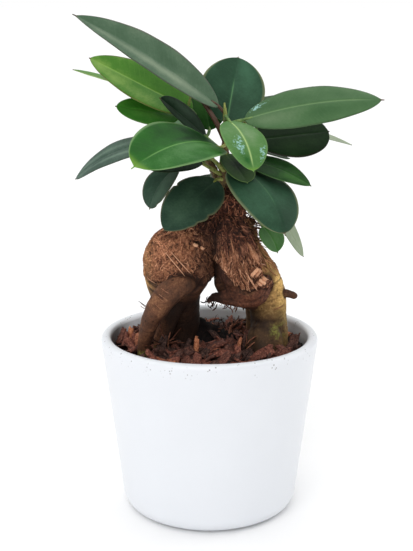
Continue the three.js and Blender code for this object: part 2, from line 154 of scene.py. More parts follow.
LEAVES = {
    "top_left": leaf(
        (5, 1, 241), (-163, 32, -48), (95, 26), ("main", 0.66), "grey_green", fold=0.25, full=(0.6, 0.8),
        drip=2, stalk="brown", rib=(0.12, 0.9),
        bands=[(0.5, 0.33, 0.42, 0.24, 0.95), (0.3, -0.4, 0.4, 0.3, -0.2)],
    ),
    "young_left": leaf(
        (-10, 6, 238), (180, 27, -40), (65, 30), ("left", 0.6), "young", fold=0.16, arch=0, full=POINTED,
        rib=(0.7, 1), tip=(0.9, 0),
        bands=[(0.85, 0.15, 0.18, 0.6, 0.45), (0.6, 0.6, 0.25, 0.3, 0.35), (0.35, -0.4, 0.4, 0.4, -0.35)],
    ),
    "thin_left": leaf((-18, 18, 239), (176, 19, 0), (65, 24), ("left", 0.66), "young", arch=0.02),
    "small_left": leaf((-17, 7, 235), (-172, 9, -36), (37, 23), ("left", 0.5), "bright", fold=0, arch=0),
    "dark_left": leaf(
        (-2, 4, 223), (-148, 38, -48), (38, 18), ("main", 0.44), "dark", fold=0.2, arch=0.02,
        rib=(0.1, 0.9), bands=[(0.6, -0.6, 0.3, 0.3, 0.6), (0.6, 0.6, 0.3, 0.3, 0.35)],
    ),
    "broad_left": leaf(
        (6, -11, 219), (-136, -4, -23), (63, 43), ("main", 0.54), "mid", arch=0.13, full=ROUNDED, drip=2.5,
        rib=(0.65, 1), tip=(0, 0.6), stalk="yellow",
        bands=[
            (0.42, 0.25, 0.16, 0.2, 0.75), (0.2, 0.5, 0.2, 0.4, 0.3), (0.22, -0.5, 0.22, 0.42, -1.3),
            (0.36, -0.16, 0.22, 0.1, -0.9), (0.65, -0.55, 0.25, 0.4, -0.35), (0.75, 0.35, 0.2, 0.4, 0.2),
        ],
    ),
    "far_left": leaf(
        (-20, 14, 218), (170, -20, -30), (65, 21), ("left", 0.36), "slate", fold=0, arch=0.13,
        rib=(0.1, 0.9), bands=[(0.55, -0.42, 0.4, 0.16, 0.5), (0.5, 0.38, 0.4, 0.12, 0.7)],
    ),
    "shaded_left": leaf((-4, 2, 211), (-150, -2, -27), (39, 27), ("main", 0.24), "dark", full=ROUNDED),
    "low_left": leaf(
        (-18, 7, 206), (-155, -52, -9), (30, 27), ("left", 0.22), "deep", arch=0.12, full=ROUNDED,
        rib=(0.15, 0.9), bites=[(0.88, 1, 0.14, 0.04)],
    ),
    "front_left": leaf(
        (4, -8, 200), (-135, -30, -30), (47, 30), ("main", 0.1), "deep", fold=0, full=POINTED, stalk="yellow",
        rib=(0.3, 0.8), bands=[(0.25, 0.45, 0.22, 0.4, -0.6), (0.65, -0.1, 0.35, 0.6, 0.55)],
        bites=[(0.4, -1, 0.08, 0.02), (0.52, 1, 0.1, 0.03), (0.68, 1, 0.1, 0.04), (0.8, 1, 0.06, 0.03)],
    ),
    "right_large": leaf(
        (20, -5, 234), (2, 8, 38), (78, 31), ("main", 0.68), "sheen", fold=-0.1, arch=0.06, full=POINTED,
        drip=2, rib=(0.6, 0.97), tip=(1, 0), wet=[(0.1, 0.75, 0.08, 0.3)],
        bands=[
            (0.22, -0.45, 0.22, 0.35, 0.7), (0.5, -0.2, 0.3, 0.15, 0.2), (0.7, 0.8, 0.3, 0.2, 0.3),
            (0.12, 0.5, 0.12, 0.4, -0.7), (0.5, 0.4, 0.35, 0.4, -0.4), (0.6, -0.4, 0.3, 0.35, -0.6),
        ],
    ),
    "top_centre": leaf(
        (10, 9, 231), (70, 61, 23), (41, 38), ("main", 0.6), "blue_green", fold=0.05, arch=0.03,
        rib=(0.8, 0.7), bands=[(0.75, -0.45, 0.3, 0.4, 0.7), (0.25, 0.3, 0.3, 0.6, -0.2)],
    ),
    "centre_front": leaf(
        (11, -14, 234), (-66, -37, 0), (39, 25), ("main", 0.74), "glossy", fold=0, arch=0.1, sweep=0.03,
        rib=(1, 1), tip=(0, 0.4), wet=[(0.58, -0.35, 0.2, 0.33), (0.75, 0.75, 0.16, 0.22)],
        bands=[(0.35, 0.3, 0.3, 0.4, 0.5), (0.2, -0.3, 0.2, 0.3, 0.2), (0.86, -0.35, 0.09, 0.3, -0.9)],
    ),
    "centre_low": leaf(
        (9, -8, 215), (-58, -31, 0), (26, 19), ("main", 0.42), "olive", full=ROUNDED,
        rib=(0.1, 0.6), tip=(0, 0), bands=[(0.5, 0.1, 0.35, 0.6, -0.9)], stalk="yellow",
    ),
    "right_dark": leaf(
        (26, 6, 221), (13, 5, 38), (45, 35), ("main", 0.56), "dark_green", fold=0, arch=0, full=ROUNDED,
        rib=(0.45, 0.85), bands=[(0.6, -0.5, 0.35, 0.3, 0.25)],
    ),
    "right_far": leaf((31, 28, 225), (16, -11, 9), (59, 22), ("back", 0.7), "pale"),
    "right_small": leaf(
        (20, -2, 211), (-17, -19, 18), (41, 23), ("main", 0.36), "mid_dark", fold=0, arch=0.06, full=POINTED,
        rib=(0.3, 0.8), bands=[(0.75, -0.3, 0.2, 0.4, 0.7), (0.3, 0, 0.3, 0.6, -0.4)],
    ),
    "right_tuck": leaf((24, 13, 216), (15, -17, 7), (25, 18), ("back", 0.46), "mid_dark", fold=0, arch=0.01),
    "front_right": leaf(
        (15, -9, 208), (-52, -37, 2), (53, 40), ("main", 0.22), "blue_green", fold=-0.15, arch=0.1,
        sweep=0.05, rib=(0.35, 0.75), drip=1.6, stalk="yellow",
        bands=[(0.5, -0.3, 0.3, 0.35, 0.5), (0.3, 0.35, 0.14, 0.25, -0.8), (0.95, 0, 0.15, 0.6, -0.5)],
    ),
    "low_right": leaf((31, -4, 172), (-34, -54, 6), (17, 21), ("low", 1), "bright_deep", arch=0.08),
    "low_far_right": leaf((28, 8, 197), (14, -58, 40), (55, 17), ("back", 0.2), "pale", arch=0.02),
    "back_up": leaf((0, 14, 226), (105, 48, 0), (34, 24), ("left", 0.5), "mid_dark"),
    "back_left": leaf((-10, 19, 221), (125, 8, 10), (56, 32), ("left", 0.42), "mid", arch=0.06),
    "back_right": leaf((22, 22, 228), (60, 15, -10), (56, 34), ("back", 0.8), "mid_dark", arch=0.06),
    "back_low": leaf((15, 14, 203), (62, -20, 0), (52, 36), ("back", 0.25), "blue_green", arch=0.06),
    "back_droop": leaf((1, 13, 200), (108, -40, 0), (44, 31), ("left", 0.14), "deep", full=ROUNDED),
}


# Number tools

def lattice(cells, seed):
    """A number from -1 to 1 for each cell of whole numbers, always the same for the same cell."""
    x, y, z = (cells[..., axis].astype(np.uint32) for axis in range(3))
    mixed = x * np.uint32(73856093) ^ y * np.uint32(19349663) ^ z * np.uint32(83492791)
    mixed ^= np.uint32(seed * 2654435 % 2**32)
    mixed = (mixed ^ (mixed >> 13)) * np.uint32(1274126177)
    mixed = (mixed ^ (mixed >> 15)) * np.uint32(2246822519)
    return ((mixed >> 8) & np.uint32(0xFFFF)) / 32767.5 - 1


def noise(points, size, seed=0):
    """Smooth noise from -1 to 1 with lumps about size across. size is a number or one for each axis."""
    grid = points / np.asarray(size, float) + 1000
    cell = np.floor(grid).astype(np.int64)
    t = grid - cell
    t = t * t * (3 - 2 * t)
    total = np.zeros(grid.shape[:-1])
    for corner in product((0, 1), repeat=3):
        weight = np.prod(np.where(corner, t, 1 - t), axis=-1)
        total += weight * lattice(cell + corner, seed)
    return total


def ridges(points, size, seed=0, sharp=2.2):
    """Thin raised lines from 0 to 1 that follow the longest axis of size."""
    return np.clip(1 - sharp * np.abs(noise(points, size, seed)), 0, 1)


def smoothstep(low, high, value):
    t = np.clip((value - low) / (high - low), 0, 1)
    return t * t * (3 - 2 * t)


def unit(vectors):
    return vectors / np.maximum(np.linalg.norm(vectors, axis=-1, keepdims=True), 1e-12)


def smooth_line(points, shares):
    """A Catmull-Rom line through points, read at shares from 0 to 1. Returns places and directions."""
    points = np.asarray(points, float)
    ends = np.vstack([2 * points[0] - points[1], points, 2 * points[-1] - points[-2]])
    reach = np.clip(shares, 0, 1) * (len(points) - 1)
    first = np.minimum(reach.astype(int), len(points) - 2)
    t = (reach - first)[:, None]
    a, b, c, d = (ends[first + k] for k in range(4))
    start, stop = 0.5 * (c - a), 0.5 * (d - b)
    bend = -3 * b + 3 * c - 2 * start - stop
    twist = 2 * b - 2 * c + start + stop
    place = b + start * t + bend * t**2 + twist * t**3
    return place, unit(start + 2 * bend * t + 3 * twist * t**2)


def tube_frame(stations, shares):
    """Centres, directions, the two directions across and the two radii along a root or stem."""
    rows = [row if len(row) == 5 else (*row, row[3]) for row in stations]
    table = np.array(rows, float)
    centre, forward = smooth_line(table[:, :3], shares)
    radii, _ = smooth_line(np.c_[table[:, 3:], np.zeros(len(table))], shares)
    chord = unit(table[-1, :3] - table[0, :3])
    across = next(np.array(v) for v in ((0, 1, 0), (1, 0, 0), (0, 0, 1)) if abs(np.dot(v, chord)) < 0.75)
    wide = unit(np.cross(forward, across))
    deep = np.cross(wide, forward)
    return centre, forward, wide, deep, radii[:, :2]


# Mesh tools

def new_object(name, data):
    thing = bpy.data.objects.new(name, data)
    bpy.context.scene.collection.objects.link(thing)
    return thing


def smooth_shaded(mesh, material):
    mesh.polygons.foreach_set("use_smooth", np.ones(len(mesh.polygons), bool))
    mesh.materials.append(material)
    return mesh


def mesh_object(name, points, faces, material):
    """A smooth-shaded object from points in millimetres."""
    mesh = bpy.data.meshes.new(name)
    mesh.from_pydata((np.asarray(points, float) * MM).tolist(), [], [tuple(map(int, face)) for face in faces])
    return new_object(name, smooth_shaded(mesh, material))


def paint(thing, **layers):
    """Stores one number for each vertex under each name, for the materials to read."""
    for name, values in layers.items():
        layer = thing.data.attributes.new(name, "FLOAT", "POINT")
        layer.data.foreach_set("value", np.asarray(values, np.float32))


def dress(thing, slot, *nodes):
    """The piece rides with the plant and stands for the nodes, which it hides. slot is not used."""
    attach(thing, "root")
    if nodes:
        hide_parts(*nodes)


def ring_faces(rings, sides, closed=True):
    """Quads between rings of sides points each, and the two end caps."""
    faces = []
    for i in range(rings - 1):
        for j in range(sides):
            k = (j + 1) % sides
            faces.append((i * sides + j, i * sides + k, (i + 1) * sides + k, (i + 1) * sides + j))
    if closed:
        faces.append(tuple(range(sides - 1, -1, -1)))
        faces.append(tuple((rings - 1) * sides + j for j in range(sides)))
    return faces


def sheet_faces(rows, wide):
    """Faces of a closed sheet: a grid of rows by wide points on top, the same below, and its rim."""
    under = rows * wide
    faces = []
    for i in range(rows - 1):
        for j in range(wide - 1):
            a = i * wide + j
            b, c, d = a + wide, a + wide + 1, a + 1
            faces.append((a, b, c, d))
            faces.append((under + a, under + d, under + c, under + b))
    last = (rows - 1) * wide
    rim = [*range(0, last, wide), *range(last, last + wide - 1)]
    rim += [*range(last + wide - 1, wide - 1, -wide), *range(wide - 1, 0, -1)]
    for k, a in enumerate(rim):
        b = rim[(k + 1) % len(rim)]
        faces.append((a, under + a, under + b, b))
    return faces


def join_parts(parts):
    """One list of points and one of faces from several (points, faces)."""
    points, faces, offset = [], [], 0
    for some_points, some_faces in parts:
        points.append(np.asarray(some_points, float))
        faces.extend(tuple(int(i) + offset for i in face) for face in some_faces)
        offset += len(some_points)
    return np.vstack(points), faces


def tube(stations, sides, rings, swell=lambda angle, share: 1.0):
    shares = np.linspace(0, 1, rings)
    centre, _, wide, deep, radii = tube_frame(stations, shares)
    angle = -np.linspace(0, 2 * np.pi, sides, endpoint=False)
    spread = swell(angle[None, :], shares[:, None]) * np.ones((rings, sides))
    points = (
        centre[:, None]
        + wide[:, None] * (np.cos(angle) * radii[:, :1] * spread)[..., None]
        + deep[:, None] * (np.sin(angle) * radii[:, 1:] * spread)[..., None]
    )
    return points.reshape(-1, 3), ring_faces(rings, sides)


def strand_mesh(paths, normals, width, thickness):
    """Flat tapering strands. paths and normals are (strands, points, 3) arrays."""
    count, length = paths.shape[:2]
    forward = unit(np.gradient(paths, axis=1))
    side = unit(np.cross(forward, normals))
    up = unit(np.cross(side, forward))
    u = np.linspace(-1, 1, length)
    taper = np.maximum(1 - u**6, 0.25)[None, :, None]
    out = side * (0.5 * width[:, None, None] * taper)
    rise = up * (0.5 * thickness[:, None, None] * taper)
    ring = np.stack([paths + out, paths - rise, paths - out, paths + rise], axis=2)
    one = ring_faces(length, 4)
    step = length * 4
    faces = [tuple(i + s * step for i in face) for s in range(count) for face in one]
    return ring.reshape(-1, 3), faces


# Node shorthand

class Nodes:
    """Shorthand for one node tree. Each method adds a node and returns its output."""

    def __init__(self, tree):
        self.tree = tree

    def node(self, kind, inputs=(), output=0, **settings):
        made = self.tree.nodes.new(kind)
        for key, value in settings.items():
            setattr(made, key, value)
        for key, value in dict(inputs).items():
            self.feed(made.inputs[key], value)
        return made.outputs[output]

    def feed(self, socket, value):
        if isinstance(value, bpy.types.NodeSocket):
            self.tree.links.new(value, socket)
        elif isinstance(value, tuple) and len(value) == 3 and socket.type == "RGBA":
            socket.default_value = (*value, 1)
        else:
            socket.default_value = value

    def layer(self, name):
        return self.node("ShaderNodeAttribute", output="Fac", attribute_name=name)

    def place(self):
        """The point in metres."""
        return self.node("ShaderNodeTexCoord", output="Object")

    def noise(self, size_mm, detail=3, rough=0.55):
        inputs = {"Vector": self.place(), "Scale": 1 / (size_mm * MM), "Detail": detail, "Roughness": rough}
        return self.node("ShaderNodeTexNoise", inputs, output="Fac")

    def math(self, operation, a, b=0.0, c=0.0, clamp=False):
        return self.node("ShaderNodeMath", {0: a, 1: b, 2: c}, operation=operation, use_clamp=clamp)

    def plus(self, a, b):
        return self.math("ADD", a, b)

    def times(self, a, b):
        return self.math("MULTIPLY", a, b)

    def span(self, value, low, high, to_low=0.0, to_high=1.0):
        inputs = {"Value": value, "From Min": low, "From Max": high, "To Min": to_low, "To Max": to_high}
        return self.node("ShaderNodeMapRange", inputs, interpolation_type="SMOOTHSTEP")

    def mix(self, share, a, b):
        """Colour a, turned into colour b by share. A mix node has its colours at inputs 6 and 7."""
        return self.node("ShaderNodeMix", {"Factor": share, 6: a, 7: b}, output=2, data_type="RGBA")

    def ramp(self, value, places, *tones):
        """A ramp through screen tones, at places from 0 to 1."""
        made = self.tree.nodes.new("ShaderNodeValToRGB")
        self.feed(made.inputs["Fac"], value)
        elements = made.color_ramp.elements
        for place in places[1:-1]:
            elements.new(place)
        for element, place, tone in zip(elements, places, tones):
            element.position = place
            element.color = (*srgb(*tone), 1)
        return made.outputs["Color"]

    def bump(self, height, distance_mm, strength=1.0, under=None):
        inputs = {"Height": height, "Distance": distance_mm * MM, "Strength": strength}
        if under:
            inputs["Normal"] = under
        return self.node("ShaderNodeBump", inputs)


class Shader(Nodes):
    """One material, round its own surface shader."""

    def __init__(self, name, **numbers):
        self.material = bpy.data.materials.new(name)
        self.material.use_nodes = True
        super().__init__(self.material.node_tree)
        self.surface = self.tree.nodes["Principled BSDF"]
        for key, value in numbers.items():
            self.surface.inputs[key.replace("_", " ")].default_value = value

    def finish(self, **inputs):
        for key, value in inputs.items():
            self.feed(self.surface.inputs[key.replace("_", " ")], value)
        return self.material


def srgb(red, green, blue):
    """A colour as read off a screen, from 0 to 255, in Blender's linear light."""
    shares = [value / 255 for value in (red, green, blue)]
    return tuple(((v + 0.055) / 1.055) ** 2.4 if v > 0.04045 else v / 12.92 for v in shares)


# Camera, at the photograph's height and distance
IMAGE_HEIGHT = 551
FOCAL_PX = 1100
SENSOR_WIDTH = 36
CAMERA_DISTANCE = 0.65
CAMERA_RISE = math.radians(13.8)
AIM = Vector((0, 0, 0.1418))
SHIFT_PX = 3


def make_camera():
    data = bpy.data.cameras.new("camera")
    data.lens = SENSOR_WIDTH * FOCAL_PX / IMAGE_HEIGHT
    data.sensor_width = SENSOR_WIDTH
    data.shift_x = -SHIFT_PX / IMAGE_HEIGHT
    camera = new_object("camera", data)
    away = Vector((0, -math.cos(CAMERA_RISE), math.sin(CAMERA_RISE)))
    camera.location = AIM + CAMERA_DISTANCE * away
    camera.rotation_euler = (-away).to_track_quat("-Z", "Y").to_euler()
    bpy.context.scene.camera = camera


def area_light(name, place, size, watts):
    data = bpy.data.lights.new(name, "AREA")
    data.shape = "DISK"
    data.size = size
    data.energy = watts
    lamp = new_object(name, data)
    lamp.location = place
    lamp.rotation_euler = (AIM - Vector(place)).to_track_quat("-Z", "Y").to_euler()


def soft_sun(name, toward, strength, angle):
    """Even light from one side of the room, soft as from a large window."""
    data = bpy.data.lights.new(name, "SUN")
    data.energy = strength
    data.angle = math.radians(angle)
    lamp = new_object(name, data)
    lamp.rotation_euler = Vector(toward).to_track_quat("Z", "Y").to_euler()


def make_world():
    """A white room: bright round the horizon and behind the plant, dimmer on the viewer's side."""
    world = bpy.data.worlds.new("studio")
    world.use_nodes = True
    bpy.context.scene.world = world
    nodes = Nodes(world.node_tree)
    heading = nodes.node("ShaderNodeTexCoord", output="Generated")
    split = nodes.node("ShaderNodeSeparateXYZ", {0: heading}).node
    depth, height = split.outputs["Y"], split.outputs["Z"]
    room = nodes.span(depth, -0.8, 0.5, 0.2, 0.7)
    horizon = nodes.span(nodes.math("ABSOLUTE", height), 0.1, 0.02)
    strength = nodes.math("MAXIMUM", room, horizon)
    background = world.node_tree.nodes["Background"]
    background.inputs["Color"].default_value = (1, 1, 1, 1)
    nodes.feed(background.inputs["Strength"], strength)


FLOOR_REACH = 100_000
FLOOR_SIDES = 64


def make_studio():
    make_world()
    soft_sun("window", toward=(-0.25, -0.82, 0.6), strength=1.3, angle=50)
    soft_sun("skylight", toward=(0, 0.1, 1), strength=1.3, angle=90)
    area_light("side_left", (-1.2, 0.2, 0.7), size=0.8, watts=1.0)
    area_light("side_right", (1.2, 0.3, 0.7), size=0.8, watts=2.0)
    shader = Shader("studio_floor", Roughness=0.9)
    tone = shader.mix(shader.noise(60), (0.93, 0.93, 0.93), (0.95, 0.95, 0.95))
    angles = np.linspace(0, 2 * np.pi, FLOOR_SIDES, endpoint=False)
    points = [(0, 0, 0), *[(FLOOR_REACH * math.cos(a), FLOOR_REACH * math.sin(a), 0) for a in angles]]
    faces = [(0, 1 + i, 1 + (i + 1) % FLOOR_SIDES) for i in range(FLOOR_SIDES)]
    mesh_object("studio_floor", points, faces, shader.finish(Base_Color=tone))
    view = bpy.context.scene.view_settings
    view.view_transform = "Standard"
    view.look = "None"


make_camera()
make_studio()


# Pot

def wall_radius(z):
    return FOOT_RADIUS + (RIM_RADIUS - FOOT_RADIUS) * z / POT_HEIGHT


def inner_radius(z):
    return wall_radius(z) - POT_WALL


def arc(x, z, radius, start, stop, count):
    angles = np.radians(np.linspace(start, stop, count))
    return [(x + radius * math.cos(a), z + radius * math.sin(a)) for a in angles]


def turned(profile, sides):
    """A closed shape turned from (radius, height) points that start and end on the axis."""
    inner = profile[1:-1]
    angles = np.linspace(0, 2 * np.pi, sides, endpoint=False)
    points = [(r * math.cos(a), r * math.sin(a), z) for r, z in inner for a in angles]
    faces = ring_faces(len(inner), sides, closed=False)
    first, last = len(points), len(points) + 1
    points += [(0, 0, profile[0][1]), (0, 0, profile[-1][1])]
    end = (len(inner) - 1) * sides
    for j in range(sides):
        k = (j + 1) % sides
        faces.append((first, k, j))
        faces.append((last, end + j, end + k))
    return points, faces


# Specks in the glaze: how many cells a metre holds, and the heights that they come in between, in metres
SPECK_CELLS = 520.0
SPECKLED = (0.096, 0.104)


def glaze_material():
    shader = Shader("glaze", Coat_Weight=0.2, Coat_Roughness=0.15, IOR=1.5)
    tone = shader.mix(shader.noise(28, 2), srgb(229, 232, 237), srgb(233, 236, 241))
    # Painted shade: the inner wall turns grey where the inside layer says
    tone = shader.mix(shader.layer("inside"), tone, srgb(122, 121, 122))
    cells = {"Vector": shader.place(), "Scale": SPECK_CELLS}
    dots = shader.node("ShaderNodeTexVoronoi", cells, output="Distance")
    height = shader.node("ShaderNodeSeparateXYZ", {0: shader.place()}, output="Z")
    speck = shader.times(shader.span(dots, 0.3, 0.16), shader.span(height, *SPECKLED))
    speck = shader.times(speck, shader.span(shader.noise(7), 0.5, 0.62))
    colour = shader.mix(shader.times(speck, 0.7), tone, srgb(104, 96, 92))
    grain = shader.bump(shader.noise(5, 2), 0.08, 0.5)
    fine = shader.bump(shader.noise(0.8, 2), 0.015, 0.4, under=grain)
    rough = shader.span(shader.noise(14), 0.3, 0.7, 0.32, 0.42)
    return shader.finish(Base_Color=colour, Normal=fine, Roughness=rough)


POT_SIDES = 160
INNER_ROUNDING = 4

# The hollow in the pot's base: how deep, its radius, and the radius of the ring that it stands on
HOLLOW_DEPTH = 0.4
HOLLOW_RADIUS = 30
STANDING_RADIUS = 33


def make_pot():
    foot, lip, corner = FOOT_ROUNDING, POT_WALL / 2, INNER_ROUNDING
    lip_height, corner_height = POT_HEIGHT - lip, POT_FLOOR + corner
    heights = np.linspace(foot + 4, lip_height - 3, 14)
    profile = [
        (0, HOLLOW_DEPTH), (HOLLOW_RADIUS, HOLLOW_DEPTH), (STANDING_RADIUS, 0),
        *arc(wall_radius(foot) - foot, foot, foot, -90, 0, 12),
        *[(wall_radius(z), z) for z in heights],
        *arc(wall_radius(lip_height) - lip, lip_height, lip, 0, 180, 16),
        *[(inner_radius(z), z) for z in heights[::-1]],
        *arc(inner_radius(corner_height) - corner, corner_height, corner, 0, -90, 5),
        (0, POT_FLOOR),
    ]
    points, faces = turned(profile, POT_SIDES)
    thing = mesh_object("glazed_pot", points, faces, glaze_material())
    x, y, z = np.array(points).T
    # Painted shade inside the pot: the inner wall is darkened, less near the top at the back and on the
    # right, where light reaches it
    depth_in_wall = wall_radius(z) - np.hypot(x, y)
    inside = smoothstep(0.75 * POT_WALL, POT_WALL, depth_in_wall) * (z > POT_FLOOR - 1)
    lit_inner_wall = np.maximum(1.1 * smoothstep(10, 36, y), 0.7 * smoothstep(10, 45, x)) * smoothstep(95, 99, z)
    paint(thing, inside=inside * (1.1 - lit_inner_wall))
    dress(thing, "glaze", "pot")


make_pot()


# Trunk

def tube_swell(order):
    """Lobes that run along a root and rings that cross it."""

    def swell(angle, share):
        lobes = 0.035 * np.sin(3 * angle + 2 * order + 5 * share)
        return 1 + lobes + 0.025 * np.sin(2 * angle - order + 11 * share)

    return swell


def rounded_end(stations):
    """Adds a dome to each end of a root, so that no flat end shows."""
    first, last = np.array(stations[0][:3], float), np.array(stations[-1][:3], float)
    out_first = unit(first - np.array(stations[1][:3], float))
    out_last = unit(last - np.array(stations[-2][:3], float))
    small, big = stations[0][3], stations[-1][3]
    head = (*(first + out_first * small * 0.5), small * 0.45)
    tail = (*(last + out_last * big * 0.5), big * 0.45)
    return [head, *stations, tail]


TRUNK_BOTTOM = 88
VOXEL = 0.65
ROOT_SIDES = 40
DOME_SIDES = 24

# Roots that get a dome at each end
DOMED = ("side_stub", "back_stump", "elbow")

# Places along a root that points are measured to, and how many points are measured at a time
ROOT_PLACES = 50
BATCH = 20_000

# Rounds of smoothing that melt the roots together
MELT_ROUNDS = 14


def trunk_skin():
    """All roots as one closed surface, evenly meshed."""
    parts = []
    for order, (name, stations) in enumerate(ROOTS.items()):
        rings = 6 * len(stations) + 1
        parts.append(tube(stations, ROOT_SIDES, rings, tube_swell(order)))
        if name in DOMED:
            parts.append(tube(rounded_end(stations), DOME_SIDES, rings))
    points, faces = join_parts(parts)
    points[:, 2] = np.maximum(points[:, 2], TRUNK_BOTTOM)
    rough = mesh_object("trunk_rough", points, faces, bpy.data.materials.new("unused"))
    remesh = rough.modifiers.new("even", "REMESH")
    remesh.mode = "VOXEL"
    remesh.voxel_size = VOXEL * MM
    even = rough.evaluated_get(bpy.context.evaluated_depsgraph_get())
    mesh = bpy.data.meshes.new_from_object(even)
    bpy.data.objects.remove(rough)
    bpy.data.materials.remove(bpy.data.materials["unused"])
    return mesh


def relax(points, edges, rounds):
    """Moves each vertex half way to the mean of its neighbours."""
    count = np.bincount(edges.ravel(), minlength=len(points))[:, None]
    for _ in range(rounds):
        total = np.zeros_like(points)
        for axis in range(3):
            total[:, axis] = np.bincount(edges[:, 0], points[edges[:, 1], axis], len(points))
            total[:, axis] += np.bincount(edges[:, 1], points[edges[:, 0], axis], len(points))
        points = 0.5 * points + 0.5 * total / np.maximum(count, 1)
    return points


def mesh_points(mesh):
    points = np.empty(len(mesh.vertices) * 3)
    mesh.vertices.foreach_get("co", points)
    return points.reshape(-1, 3) / MM


def mesh_normals(mesh):
    normals = np.empty(len(mesh.vertices) * 3, np.float32)
    mesh.vertex_normals.foreach_get("vector", normals)
    return normals.reshape(-1, 3).astype(float)


def set_points(mesh, points):
    mesh.vertices.foreach_set("co", (points * MM).ravel())
    mesh.update()


def root_places(points):
    """For each point the root that it belongs to and the next nearest one, how close the two come to
    being equally near, how far along and round its own root it lies, and which way that root runs."""
    best, second = np.full(len(points), np.inf), np.full(len(points), np.inf)
    owner, rival = np.zeros(len(points), int), np.zeros(len(points), int)
    run, turn = np.zeros(len(points)), np.zeros(len(points))
    heading = np.zeros_like(points)
    for order, stations in enumerate(ROOTS.values()):
        centre, forward, wide, deep, radii = tube_frame(stations, np.linspace(0, 1, ROOT_PLACES))
        along = np.r_[0, np.cumsum(np.linalg.norm(np.diff(centre, axis=0), axis=1))]
        size = radii.mean(axis=1)
        for start in range(0, len(points), BATCH):
            some = slice(start, start + BATCH)
            gap = points[some, None] - centre[None]
            ratio = np.linalg.norm(gap, axis=2) / size
            near = ratio.argmin(axis=1)
            rows = np.arange(len(near))
            value = ratio[rows, near]
            wins = value < best[some]
            follows = ~wins & (value < second[some])
            offset = gap[rows, near]
            angle = np.arctan2((offset * deep[near]).sum(1), (offset * wide[near]).sum(1))
            slide = (offset * forward[near]).sum(1)
            second[some] = np.where(wins, best[some], np.where(follows, value, second[some]))
            rival[some] = np.where(wins, owner[some], np.where(follows, order, rival[some]))
            best[some] = np.where(wins, value, best[some])
            owner[some] = np.where(wins, order, owner[some])
            run[some] = np.where(wins, along[near] + slide, run[some])
            turn[some] = np.where(wins, angle * size[near], turn[some])
            heading[some] = np.where(wins[:, None], forward[near], heading[some])
    return {
        "owner": owner, "rival": rival, "closeness": second - best,
        "run": run, "turn": turn, "heading": heading,
    }


# Roots that meet at a crease, and how deep it is. The crease is sunk and darkened with painted shade
CREASES = [
    ("left_bulb", "cut_root", 1.0), ("left_bulb", "front_left_leg", 1.0), ("left_bulb", "back_left_leg", 0.6),
    ("left_bulb", "inner_root", 0.8), ("cut_root", "right_leg", 0.9), ("cut_root", "inner_root", 0.6),
    ("front_left_leg", "back_left_leg", 0.9), ("foot_lobe", "right_leg", 0.5), ("knob", "right_leg", 0.5),
    ("elbow", "right_leg", 0.6), ("side_stub", "right_leg", 0.6), ("neck", "back_stump", 0.8),
    ("foot_lobe", "foot_left", 0.3), ("foot_lobe", "foot_right", 0.25), ("foot_right", "right_leg", 0.15),
]


def trunk_creases(place):
    names = list(ROOTS)
    depth = np.zeros(len(place["owner"]))
    for first, other, strength in CREASES:
        a, b = names.index(first), names.index(other)
        meets = (place["owner"] == a) & (place["rival"] == b) | (place["owner"] == b) & (place["rival"] == a)
        depth = np.maximum(depth, strength * meets)
    return depth * smoothstep(0.2, 0.02, place["closeness"])


# Small deep holes in the front of the trunk, darkened with painted shade: x, z and reach
HOLES = [(18.8, 154.8, 1.4), (20.6, 157.6, 1.1), (23.6, 152.4, 0.9), (-6.4, 165, 1.6), (25.8, 144, 2.4)]


def trunk_holes(points):
    x, y, z = points.T
    depth = np.zeros(len(points))
    for hole_x, hole_z, reach in HOLES:
        distance = np.hypot(x - hole_x, z - hole_z) / reach
        depth = np.maximum(depth, np.exp(-(distance**2)) * (y < 0))
    return depth


